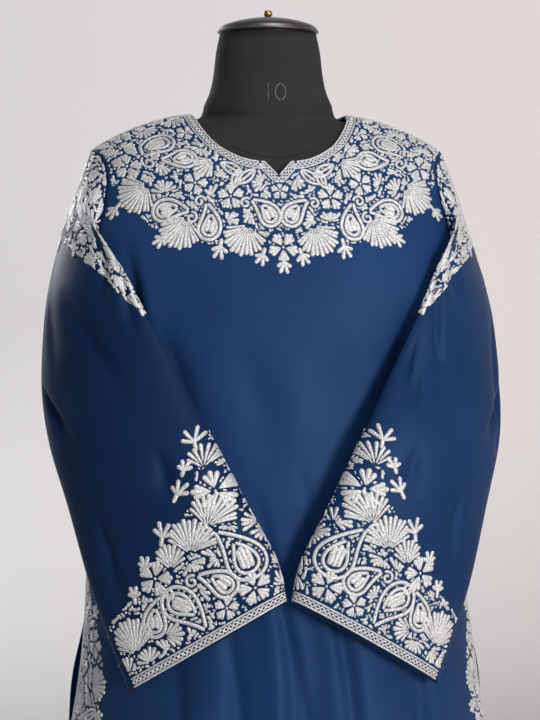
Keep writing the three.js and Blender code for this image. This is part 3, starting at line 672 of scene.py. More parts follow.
@dataclass(frozen=True)
class ClothFinish:
    """Woven satin: two close navy shades in soft clouds, over a fine weave."""

    name: str = "navy satin"
    dark: tuple = (0.0105, 0.037, 0.12)
    light: tuple = (0.0145, 0.049, 0.152)
    roughness: float = 0.5
    sheen: float = 0.05
    specular: float = 0.22
    weave: float = 1400.0
    ripple: float = 16.0
    ripple_share: float = 12.0
    relief: float = 0.2

    def make(self) -> bpy.types.Material:
        """Builds the material on Object coordinates."""
        nodes = Nodes(self.name)
        place = nodes.new("ShaderNodeTexCoord")
        clouds = nodes.new("ShaderNodeTexNoise", Scale=9.0, Detail=3.0)
        nodes.link(place.outputs["Object"], clouds.inputs["Vector"])
        nodes.blend(clouds.outputs["Fac"], self.dark, self.light, 0.3, 0.7)
        weave = nodes.new("ShaderNodeTexNoise", Scale=self.weave, Detail=1.0)
        nodes.link(place.outputs["Object"], weave.inputs["Vector"])
        ripple = nodes.new("ShaderNodeTexNoise", Scale=self.ripple, Detail=2.0, Roughness=0.4)
        nodes.link(place.outputs["Object"], ripple.inputs["Vector"])
        mixed = nodes.new("ShaderNodeMath", operation="MULTIPLY_ADD")
        mixed.inputs[1].default_value = self.ripple_share
        nodes.link(ripple.outputs["Fac"], mixed.inputs[0])
        nodes.link(weave.outputs["Fac"], mixed.inputs[2])
        nodes.bump(mixed.outputs[0], self.relief, 0.0004)
        nodes.set(Roughness=self.roughness, Sheen_Weight=self.sheen, Sheen_Roughness=0.4)
        nodes.set(Sheen_Tint=(0.3, 0.48, 0.85, 1.0), Specular_IOR_Level=self.specular)
        nodes.set(Specular_Tint=(0.3, 0.58, 1.0, 1.0))
        return nodes.material


@dataclass(frozen=True)
class ThreadFinish:
    """Silver metal thread, plied: slanting ridges on each strand and a speckle of glints."""

    name: str = "silver thread"
    dark: tuple = (0.5, 0.505, 0.515)
    light: tuple = (0.98, 0.98, 0.98)

    def make(self) -> bpy.types.Material:
        """Builds the material: the ply follows the strand's own UV, the speckle its place."""
        nodes = Nodes(self.name)
        strand = nodes.new("ShaderNodeUVMap", uv_map="cloth")
        turn = nodes.new("ShaderNodeMapping")
        turn.inputs["Rotation"].default_value = (0, 0, math.radians(35))
        nodes.link(strand.outputs["UV"], turn.inputs["Vector"])
        ply = nodes.new("ShaderNodeTexWave", Scale=190.0, Distortion=1.5, Detail=1.0)
        ply.inputs["Detail Scale"].default_value = 2.0
        nodes.link(turn.outputs["Vector"], ply.inputs["Vector"])
        place = nodes.new("ShaderNodeTexCoord")
        speckle = nodes.new("ShaderNodeTexNoise", Scale=650.0, Detail=2.0, Roughness=0.7)
        nodes.link(place.outputs["Object"], speckle.inputs["Vector"])
        nodes.blend(speckle.outputs["Fac"], self.dark, self.light, 0.36, 0.64)
        mixed = nodes.new("ShaderNodeMath", operation="MULTIPLY_ADD")
        mixed.inputs[1].default_value = 0.5
        nodes.link(ply.outputs["Fac"], mixed.inputs[0])
        nodes.link(speckle.outputs["Fac"], mixed.inputs[2])
        nodes.bump(mixed.outputs[0], 0.7, 0.0006)
        nodes.set(Metallic=0.35, Roughness=0.4)
        return nodes.material


@dataclass(frozen=True)
class HardFinish:
    """A plain hard or knitted finish with a faint mottle and grain."""

    name: str
    dark: tuple
    light: tuple
    metallic: float = 0.0
    roughness: float = 0.5
    scale: float = 30.0
    grain: float = 900.0
    relief: float = 0.05
    sheen: float = 0.0

    def make(self) -> bpy.types.Material:
        """Builds the material on Object coordinates."""
        nodes = Nodes(self.name)
        place = nodes.new("ShaderNodeTexCoord")
        mottle = nodes.new("ShaderNodeTexNoise", Scale=self.scale, Detail=4.0)
        nodes.link(place.outputs["Object"], mottle.inputs["Vector"])
        nodes.blend(mottle.outputs["Fac"], self.dark, self.light, 0.35, 0.65)
        grain = nodes.new("ShaderNodeTexNoise", Scale=self.grain, Detail=1.0)
        nodes.link(place.outputs["Object"], grain.inputs["Vector"])
        nodes.bump(grain.outputs["Fac"], self.relief, 0.0005)
        nodes.set(Metallic=self.metallic, Roughness=self.roughness, Sheen_Weight=self.sheen)
        return nodes.material


class Finishes:
    """Every finish of the object, made once."""

    def __init__(self) -> None:
        """Builds the materials."""
        self.cloth = ClothFinish().make()
        # Both sleeves are darker copies of the satin, the right one (shaded) deepest and the left one
        # (across) a little darker than the body: painted shade.
        shaded = ClothFinish(
            name="navy satin, sleeve on the shaded side", dark=(0.005, 0.017, 0.06),
            light=(0.0075, 0.024, 0.08),
        )
        across = ClothFinish(
            name="navy satin, cut across", dark=(0.008, 0.029, 0.096), light=(0.011, 0.039, 0.123)
        )
        self.sleeves = {"sleeve_right": shaded.make(), "sleeve_left": across.make()}
        self.lining = ClothFinish(name="pocket cotton", roughness=0.8, sheen=0.1).make()
        self.thread = ThreadFinish().make()
        jersey = HardFinish("black jersey", (0.011, 0.0135, 0.0155), (0.017, 0.0205, 0.023), 0, 0.85)
        self.jersey = jersey.make()
        self.chalk = HardFinish("chalk", (0.06, 0.065, 0.07), (0.17, 0.175, 0.18), 0, 0.95, 300).make()
        self.wood = HardFinish("varnished wood", (0.10, 0.045, 0.02), (0.2, 0.09, 0.04), 0, 0.35).make()
        self.metal = HardFinish("cap metal", (0.13, 0.125, 0.13), (0.2, 0.195, 0.2), 0.8, 0.4).make()
        self.brass = HardFinish("knob brass", (0.5, 0.33, 0.1), (0.7, 0.5, 0.2), 0.95, 0.28).make()
        self.steel = HardFinish("pole steel", (0.5, 0.5, 0.52), (0.62, 0.62, 0.64), 1.0, 0.22).make()
        enamel = HardFinish("black enamel", (0.012, 0.012, 0.013), (0.02, 0.02, 0.022), 0, 0.3)
        self.enamel = enamel.make()


class Motifs:
    """Traditional motifs as strands in a flat plane, in mm. Each call returns its strands."""

    @staticmethod
    def finger(
        x: float, y: float, angle: float, length: float, half: float | tuple[float, float],
        bend: float = 0,
    ) -> Strand:
        """One rounded finger: a line that turns by bend, in radians, as it runs out."""
        t = np.linspace(0, 1, 8)
        turn = angle + bend * t
        return np.stack([x + length * t * np.cos(turn), y + length * t * np.sin(turn)], -1), half

    @classmethod
    def fan(
        cls, x: float, y: float, angle: float, spread: float, count: int, radius: float
    ) -> list[Strand]:
        """Fingers side by side from one base, the middle ones longest."""
        out = []
        pitch = math.radians(spread) / (count - 1)
        for k, share in enumerate(np.linspace(-1, 1, count)):
            a = math.radians(angle + share * spread / 2)
            start = radius * (0.1 + 0.16 * (k % 2))
            length = radius * (0.93 - 0.24 * share * share + 0.05 * (k % 2)) - start
            at = (x + start * math.cos(a), y + start * math.sin(a))
            tip = min(3.1, 0.52 * pitch * (start + length))
            out.append(cls.finger(*at, a, length, (max(0.9, 0.56 * pitch * start), tip), 0.12 * share))
        return out

    @classmethod
    def flower(cls, x: float, y: float, radius: float, petals: int = 5, turn: float = 90) -> list[Strand]:
        """Wedge petals of three strands each, round a small boss."""
        out = []
        for k in range(petals):
            a = math.radians(turn + 360 * k / petals)
            for off, share in ((-0.36, 0.9), (0, 1), (0.36, 0.9)):
                at = (x + 0.16 * radius * math.cos(a), y + 0.16 * radius * math.sin(a))
                half = (0.9, 0.18 * radius)
                out.append(cls.finger(*at, a + off, radius * (share - 0.16), half))
        out.append(cls.ring(x, y, 0.9, 1.2))
        return out

    @staticmethod
    def ring(x: float, y: float, radius: float, half: float) -> Strand:
        """A closed ring that overlaps itself a little."""
        t = np.linspace(0, 2.1 * np.pi, 14)
        return np.stack([x + radius * np.cos(t), y + radius * np.sin(t)], -1), half

    @staticmethod
    def spiral(x: float, y: float, radius: float, start: float, turns: float, hand: int) -> Strand:
        """A curl that winds in from its radius to a fifth of it."""
        t = np.linspace(0, 1, 20)
        r = radius * (1 - 0.8 * t)
        a = math.radians(start) + hand * 2 * np.pi * turns * t
        return np.stack([x + r * np.cos(a), y + r * np.sin(a)], -1), 1.7

    @classmethod
    def paisley(
        cls, x: float, y: float, angle: float, length: float, width: float, hand: int
    ) -> list[Strand]:
        """A bent teardrop: x is a cosine, y a sine times a power of the half angle's sine.

        Args:
            x: its centre.
            y: its centre.
            angle: the way its tip points, in degrees.
            length: from round end to tip.
            width: across the round end.
            hand: 1 bends its tip to the left and -1 to the right.

        Returns:
            The outline, an inner line, the filled core and the curl at its tip.
        """

        def bent(px: Array, py: Array) -> Array:
            """Turns the tip half aside by the square of how far out it is, then places it."""
            out = np.maximum(px, -0.2) + 0.2
            px, py = px * length / 2, py * width / 2
            py = py + hand * 0.2 * length * out**2
            a = math.radians(angle)
            return np.stack(
                [x + px * math.cos(a) - py * math.sin(a), y + px * math.sin(a) + py * math.cos(a)], -1
            )

        def drop(scale: float, shift: float) -> Array:
            """The drop's outline, made smaller by scale and moved along by shift."""
            t = np.linspace(0.06, 0.94, 34) * 2 * np.pi
            px, py = np.cos(t), 1.3 * np.sin(t) * np.sin(t / 2) ** 1.1
            return bent(px * scale + shift, py * scale)

        out = [(drop(1.0, 0.0), 2.1), (drop(0.6, -0.17), 2.0)]
        rows = 2 if width < 27 else 3
        for row in np.linspace(-0.22, 0.22, rows):
            t = np.linspace(-0.62 + 0.6 * row * row, 0.2 - 2 * row * row, 8)
            out.append((bent(t, np.full_like(t, row)), 0.19 * width / rows * 1.5))
        tip = bent(np.array([1.02]), np.array([0.0]))[0]
        curl = 0.17 * length
        a = angle + hand * 100
        centre = tip + curl * np.array([math.cos(math.radians(a)), math.sin(math.radians(a))])
        out.append(cls.spiral(centre[0], centre[1], curl, a + 180, 1.3, hand))
        return out

    @classmethod
    def sprig(cls, x: float, y: float, angle: float, size: float) -> list[Strand]:
        """Three spread fingers on a short stem."""
        a = math.radians(angle)
        out = [cls.finger(x - size * 0.5 * math.cos(a), y - size * 0.5 * math.sin(a), a, size * 0.6, 2.4)]
        for off, share in ((-58, 0.6), (-20, 0.84), (18, 0.86), (56, 0.64)):
            out.append(cls.finger(x, y, a + math.radians(off), size * share, (1.6, 2.7)))
        return out

    @classmethod
    def leaf(cls, x: float, y: float, angle: float, length: float) -> list[Strand]:
        """A pointed leaf: two bowed sides and a rib between them."""
        a = math.radians(angle)
        sides = []
        for hand in (-1, 1):
            t = np.linspace(0, 1, 10)
            off = hand * 0.2 * length * np.sin(np.pi * t)
            px = x + length * t * math.cos(a) - off * math.sin(a)
            py = y + length * t * math.sin(a) + off * math.cos(a)
            sides.append((np.stack([px, py], -1), 1.8))
        return [*sides, cls.finger(x, y, a, length * 0.8, 1.7)]


def mirror(strands: list[Strand]) -> list[Strand]:
    """The same strands seen in the line U = 0."""
    return [(line * np.array([-1, 1]), half) for line, half in strands]


class StrandField:
    """A flat field for embroidery: what is covered, and which way the nearest strand runs."""

    cell = 0.6
    gap = 0.12
    reach_mm = 9.0

    def __init__(self, chart: GridChart, low: tuple[float, float], high: tuple[float, float]) -> None:
        """Starts with nothing laid.

        Args:
            chart: the map the field lies on.
            low: its lowest U and V in mm.
            high: its highest U and V in mm.
        """
        self.chart, self.low, self.high = chart, np.array(low), np.array(high)
        self.shape = tuple(np.ceil((self.high - self.low) / self.cell).astype(int) + 1)
        self.near = np.full(self.shape, 99.0)
        self.angle = np.zeros(self.shape)
        self.strands: list[Strand] = []
        u = self.low[0] + self.cell * np.arange(self.shape[0])
        v = self.low[1] + self.cell * np.arange(self.shape[1])
        self.u, self.v = np.meshgrid(u, v, indexing="ij")

    def cell_of(self, p: Array) -> tuple[Array, Array]:
        """The nearest cell to places."""
        k = np.rint((p - self.low) / self.cell).astype(int)
        k = np.clip(k, 0, np.array(self.shape) - 1)
        return k[..., 0], k[..., 1]

    def stamp(self, line: Array, half: float | tuple[float, float]) -> None:
        """Marks how near each cell is to a strand, and the strand's direction."""
        halves = np.linspace(*half, len(line)) if isinstance(half, tuple) else np.full(len(line), half)
        lo = np.clip(((line.min(0) - self.reach_mm - self.low) / self.cell).astype(int), 0, None)
        hi = ((line.max(0) + self.reach_mm - self.low) / self.cell).astype(int) + 1
        part = (slice(lo[0], hi[0]), slice(lo[1], hi[1]))
        u, v = self.u[part], self.v[part]
        if u.size == 0:
            return
        gaps = np.hypot(u[..., None] - line[:, 0], v[..., None] - line[:, 1]) - halves
        nearest = gaps.argmin(-1)
        distance = np.take_along_axis(gaps, nearest[..., None], -1)[..., 0]
        tangent = np.gradient(line, axis=0)
        direction = np.arctan2(tangent[:, 1], tangent[:, 0])[nearest]
        closer = distance < self.near[part]
        self.near[part][closer] = distance[closer]
        self.angle[part][closer] = direction[closer]

    def lay(self, strands: list[Strand], inside: Callable[[Array], Array]) -> None:
        """Lays strands, cut off where they leave the cloth."""
        for line, half in strands:
            line = resample(line, 1.0)
            kept = inside(line)
            edges = np.flatnonzero(np.diff(kept.astype(int))) + 1
            for piece, flags in zip(np.split(line, edges), np.split(kept, edges)):
                if flags[0] and len(piece) >= 4:
                    self.strands.append((piece, half))
                    self.stamp(piece, half)

    def fill(self, region: Array, rng: np.random.Generator) -> None:
        """Fills a region: leaf clusters, large ones first, then strands in what they leave."""
        for room, radius in ((4.0, 17.0), (2.6, 13.0), (1.8, 10.0), (1.2, 8.0), (0.9, 6.0)):
            self.fill_clusters(region, room, radius, rng)
        for half, longest in ((1.1, 12.0), (0.8, 9.0), (0.55, 7.0)):
            self.fill_with(region, half, longest, rng)

    def fill_clusters(
        self, region: Array, room: float, radius: float, rng: np.random.Generator
    ) -> None:
        """Puts leaf clusters, fingers side by side from one base, wherever there is room.

        Args:
            region: True for every cell that may be covered.
            room: how far from every other strand a base must lie.
            radius: the longest finger.
            rng: the source of chance.
        """
        pitch = 0.4
        seeds = np.argwhere(region & (self.near > room))
        rng.shuffle(seeds)
        for i, j in seeds:
            if self.near[i, j] <= room:
                continue
            base = np.array([self.u[i, j], self.v[i, j]])
            heading = self.away_from(i, j, rng)
            cluster = []
            for k in range(-3, 4):
                a = heading + pitch * k + rng.normal(0, 0.04)
                finger = self.probe(base, a, radius * rng.uniform(0.85, 1), pitch, region)
                if finger is not None:
                    cluster.append(finger)
            if len(cluster) < 2:
                continue
            for line, half in cluster:
                self.strands.append((line, half))
                self.stamp(line, half)

    def away_from(self, i: int, j: int, rng: np.random.Generator) -> float:
        """The heading that leads away from the nearest strand, turned a little by chance."""
        i0, i1 = max(i - 2, 0), min(i + 2, self.shape[0] - 1)
        j0, j1 = max(j - 2, 0), min(j + 2, self.shape[1] - 1)
        slope = self.near[i1, j] - self.near[i0, j], self.near[i, j1] - self.near[i, j0]
        if abs(slope[0]) + abs(slope[1]) < 0.01:
            return rng.uniform(0, 2 * np.pi)
        return math.atan2(slope[1], slope[0]) + rng.normal(0, 0.35)

    def probe(
        self, base: Array, angle: float, longest: float, pitch: float, region: Array
    ) -> Strand | None:
        """One finger of a cluster, as long as the room lets it be, or None if it is too short."""
        way = np.array([math.cos(angle), math.sin(angle)])
        reach = 0.0
        for r in np.arange(1.2, longest, 0.8):
            i, j = self.cell_of(base + way * r)
            if self.near[i, j] < self.gap + min(0.33 * pitch * r, 1.3) or not region[i, j]:
                break
            reach = r
        if reach < 3.2:
            return None
        r = np.linspace(1.2, reach, max(4, int(reach)))
        tip = min(2.6, 0.52 * pitch * reach)
        return base + way * r[:, None], (0.7, tip)

    def fill_with(
        self, region: Array, half: float, longest: float, rng: np.random.Generator
    ) -> None:
        """Fills what is left of a region with short strands that run with their neighbours.

        Args:
            region: True for every cell that may be covered.
            half: half of the strands' width.
            longest: their greatest length.
            rng: the source of chance.
        """
        need = half + self.gap
        seeds = np.argwhere(region & (self.near > need))
        rng.shuffle(seeds)
        for i, j in seeds:
            if self.near[i, j] <= need:
                continue
            start = np.array([self.u[i, j], self.v[i, j]])
            heading = self.angle[i, j] if self.near[i, j] < 90 else rng.uniform(0, np.pi)
            bend = rng.uniform(-0.035, 0.035)
            limit = rng.uniform(0.6, 1) * longest / 2
            arms = [self.grow(start, heading + turn, bend, limit, need, region) for turn in (np.pi, 0)]
            line = np.array(arms[0][::-1] + [start] + arms[1])
            if len(line) < 4:
                self.near[i, j] = 0
                continue
            self.strands.append((line, half))
            self.stamp(line, half)

    def grow(
        self, start: Array, heading: float, bend: float, limit: float, need: float, region: Array
    ) -> list[Array]:
        """Steps of 1 mm from a place until something is in the way."""
        out, p = [], start
        while len(out) < limit:
            p = p + np.array([math.cos(heading), math.sin(heading)])
            i, j = self.cell_of(p)
            if self.near[i, j] <= need or not region[i, j]:
                break
            out.append(p)
            heading += bend
        return out


def resample(line: Array, step: float) -> Array:
    """A line with even steps of about the length asked for."""
    runs = np.linalg.norm(np.diff(line, axis=0), axis=1)
    s = np.concatenate([[0], np.cumsum(runs)])
    count = max(2, int(round(s[-1] / step)) + 1)
    at = np.linspace(0, s[-1], count)
    return np.stack([np.interp(at, s, line[:, k]) for k in range(line.shape[1])], -1)


class Couching:
    """Turns strands on a chart into small closed bodies lying on the cloth."""

    ring = 5
    step = 1.5
    height = 1.25
    lift = 0.15

    @classmethod
    def build(
        cls, name: str, chart: GridChart, strands: list[Strand], material: bpy.types.Material,
        flip: bool = False, height: float | None = None, step: float | None = None,
    ) -> bpy.types.Object:
        """One piece of embroidery.

        Each strand's section is half an ellipse that closes under it, and it narrows at both
        ends as a circle does, so that the ends are round.

        Args:
            name: the piece's name.
            chart: the map its strands lie on.
            strands: lines in the chart with their half widths.
            material: the thread's finish.
            flip: whether the piece is for the other side, seen in the middle plane.
            height: how proud the thread stands in mm.
            step: the length of a strand's faces in mm.

        Returns:
            The object.
        """
        height = height or cls.height
        places, halves, runs, starts = [], [], [], []
        total = 0
        for line, half in strands:
            wide = max(half) if isinstance(half, tuple) else half
            ends = half if isinstance(half, tuple) else (half, half)
            line = resample(line, step or cls.step)
            s = np.concatenate([[0], np.cumsum(np.linalg.norm(np.diff(line, axis=0), axis=1))])
            inner = s[-1]
            extra = np.array([0.12, 0.45]) * min(wide, inner / 3)
            at = np.unique(np.concatenate([[0], extra, s[1:-1], inner - extra, [inner]]))
            at = at[np.concatenate([[True], np.diff(at) > 0.02])]
            line = np.stack([np.interp(at, s, line[:, k]) for k in range(2)], -1)
            end = np.minimum(at, at[-1] - at)
            r = min(wide, inner / 2)
            rounded = np.sqrt(np.clip(1 - (1 - np.minimum(end, r) / r) ** 2, 0.0036, 1))
            places.append(line)
            halves.append(np.interp(at, [0, at[-1]], ends) * rounded)
            runs.append(at)
            starts.append(total)
            total += len(line)
        lengths = np.array([len(p) for p in places])
        line, half, run = np.concatenate(places), np.concatenate(halves), np.concatenate(runs)
        tangent = np.concatenate([np.gradient(p, axis=0) for p in places])
        tangent = unit(tangent)
        centre, normal = chart.place(line)
        ahead, _ = chart.place(line + tangent * 0.8)
        behind, _ = chart.place(line - tangent * 0.8)
        side = unit(np.cross(normal, ahead - behind))
        t = np.linspace(0, np.pi, cls.ring)
        across, up = np.cos(t), np.sin(t)
        tall = height * np.minimum(1, half / 1.2)
        points = (
            centre[:, None]
            + side[:, None] * (half[:, None] * across)[..., None]
            + normal[:, None] * (cls.lift + tall[:, None] * up)[..., None]
        )
        index = np.arange(total * cls.ring).reshape(total, cls.ring)
        index = np.concatenate([index, index[:, :1]], axis=1)
        joined = np.ones(total, bool)
        joined[np.array(starts) + lengths - 1] = False
        rows = np.flatnonzero(joined)
        a, b = index[rows], index[rows + 1]
        faces = np.stack([a[:, :-1], b[:, :-1], b[:, 1:], a[:, 1:]], -1).reshape(-1, 4)
        points = points.reshape(-1, 3)
        if flip:
            points = points * np.array([-1, 1, 1])
        uv = np.stack(
            [np.repeat(run, cls.ring), (half[:, None] * (1 - 2 * t / np.pi)).ravel()], -1
        )
        return Mesher.build(name, points, Mesher.outwards(points, faces), material, uv)


@dataclass
class Panel:
    """The front or back of the robe, from hem to shoulder."""

    side: Side
    finishes: Finishes
    notch_columns: int = 6
    neck_columns: int = 28
    shoulder_columns: int = 44
    skirt_rows: int = 112
    upper_rows: int = 64
    yoke_low: float = 1236.0
    outer: Array = field(init=False)
    normals: Array = field(init=False)
    shares: Array = field(init=False)
    levels: Array = field(init=False)

    def __post_init__(self) -> None:
        """Works out the grid: rows crowd towards the top, columns meet the neckline's corners."""
        half = np.concatenate([
            np.linspace(0, NOTCH_HALF, self.notch_columns, endpoint=False),
            np.linspace(NOTCH_HALF, NECK_X, self.neck_columns, endpoint=False),
            np.linspace(NECK_X, TIP_X, self.shoulder_columns + 1),
        ]) / TIP_X
        self.shares = np.concatenate([-half[:0:-1], half])
        skirt = np.linspace(HEM_Z, ARMPIT_Z, self.skirt_rows, endpoint=False)
        up = (1 - np.cos(np.pi * np.linspace(0, 1, self.upper_rows))) / 2
        top = ROBE.top_z(self.shares, self.side)
        self.levels = np.concatenate([
            np.repeat(skirt[:, None], len(self.shares), axis=1),
            ARMPIT_Z + up[:, None] * (top - ARMPIT_Z),
        ])
        w = np.broadcast_to(self.shares, self.levels.shape).copy()
        self.outer, self.normals = ROBE.wall(w, self.levels, self.side)
        seam = np.abs(self.shares) * TIP_X >= NECK_X
        self.outer[-1, seam, 1] = self.side.value * SEAM_GAP / 2

    def cloth(self) -> bpy.types.Object:
        """The panel's wall, its inner face one cloth thickness inside the outer one."""
        name = f"{self.side.name.lower()}_cloth"
        inner = self.outer - self.normals * WALL
        points = np.concatenate([self.outer.reshape(-1, 3), inner.reshape(-1, 3)])
        faces = shell_faces(*self.levels.shape, ring=False)
        piece = Mesher.build(name, points, Mesher.outwards(points, faces), self.finishes.cloth)
        return settle(piece, "robe_cloth", self.side.name.lower())

    def area(self) -> float:
        """The outer face's area in square metres, from the quads' diagonals."""
        d1 = self.outer[1:, 1:] - self.outer[:-1, :-1]
        d2 = self.outer[1:, :-1] - self.outer[:-1, 1:]
        return float(np.linalg.norm(np.cross(d1, d2), axis=-1).sum() / 2) * MM * MM

    def yoke_chart(self) -> GridChart:
        """The map over the chest: U is across at the shoulders' width, V up from its low line."""
        rows = 90
        up = np.sin(np.linspace(0, np.pi / 2, rows))
        top = ROBE.top_z(self.shares, self.side)
        z = self.yoke_low + up[:, None] * (top - self.yoke_low)
        w = np.broadcast_to(self.shares, z.shape).copy()
        points, normals = ROBE.wall(w, z, self.side)
        return GridChart(points, normals, self.shares * YOKE_HALF)

    def hem(self) -> bpy.types.Object:
        """The hem's stitching, a fine line of short stitches a little above the edge."""
        rows = 14
        points, normals = self.outer[:rows], self.normals[:rows]
        chart = GridChart(points, normals, self.shares * HEM_SPAN)
        starts = np.arange(-HEM_SPAN + 2, HEM_SPAN - 4, STITCH + 1.2)
        stitches = [(np.array([[u, HEM_UP], [u + STITCH, HEM_UP]]), 0.4) for u in starts]
        name = f"hem_stitches_{self.side.name.lower()}"
        piece = Couching.build(name, chart, stitches, self.finishes.lining, height=0.45)
        return settle(piece, "robe_cloth")

    def slash_chart(self, out: int, columns: int = 110, rows: int = 60) -> GridChart:
        """The map along a pocket slash: U is the height, V the way in from the side edge."""
        z = np.linspace(690, 975, columns)
        w = out * np.linspace(1, 0.62, rows)
        zz, ww = np.meshgrid(z, w)
        points, normals = ROBE.wall(ww, zz, self.side)
        return GridChart(points, normals, z)


class Placed(NamedTuple):
    """Where a motif lies: its kind, place, turn and size, in mm and degrees.

    On a yoke the place is X and Z on the -X half; on every other chart it is U and V. The last
    value is a fan's spread, or the way a paisley's tip bends.
    """

    kind: str
    x: float
    z: float
    angle: float
    size: float
    more: float = 0.0


YOKE_FRONT = (
    Placed("fan", -99, 1326, 243, 37, 120),
    Placed("fan", -35, 1319, 252, 36, 118),
    Placed("fan", -145, 1360, 222, 38, 120),
    Placed("fan", -70, 1386, 212, 30, 74),
    Placed("leaf", -64, 1383, 330, 30),
    Placed("leaf", -26, 1376, 218, 28),
    Placed("paisley", -118, 1336, 20, 40, -1),
    Placed("paisley", -74, 1322, 78, 40, 1),
    Placed("paisley", -15, 1334, 118, 38, 1),
    Placed("paisley", -128, 1402, 200, 50, 1),
    Placed("paisley", -107, 1386, 205, 40, -1),
    Placed("flower", -93, 1362, 0, 15),
    Placed("flower", -54, 1348, 20, 16),
    Placed("flower", -166, 1380, 10, 18),
    Placed("flower", -160, 1412, 40, 14),
    Placed("flower", -92, 1416, 70, 12),
    Placed("sprig", -63, 1297, 262, 17),
    Placed("sprig", -20, 1289, 250, 15),
    Placed("sprig", -122, 1306, 235, 15),
    Placed("sprig", -176, 1336, 235, 15),
    Placed("leaf", -44, 1376, 250, 24),
)
YOKE_CENTRE = (
    Placed("flower", 1, 1296, 270, 17),
    Placed("sprig", 1, 1281, 270, 15),
    Placed("flower", 0, 1354, 90, 11),
)
YOKE_BACK = (
    Placed("fan", -60, 1392, 262, 30, 110),
    Placed("fan", -128, 1378, 240, 32, 110),
    Placed("paisley", -95, 1396, 200, 34, 1),
    Placed("flower", -28, 1398, 80, 14),
    Placed("flower", -160, 1382, 20, 15),
    Placed("sprig", -28, 1380, 268, 15),
    Placed("sprig", -92, 1366, 250, 15),
    Placed("flower", -120, 1412, 20, 12),
)
BACK_CENTRE = (Placed("fan", 0, 1392, 270, 28, 100),)


class Outline(NamedTuple):
    """How far up its chart a part's work reaches: heights at places along its edge, in mm."""

    places: tuple[float, ...]
    heights: tuple[float, ...]


POCKET_OUTLINE = Outline((700, 722, 760, 860, 900, 940, 966), (20, 52, 76, 78, 62, 30, 8))
HEAD_OUTLINE = Outline((-100, -70, 0, 50, 88, 112, 126, 140), (0, 84, 108, 124, 134, 128, 70, 0))


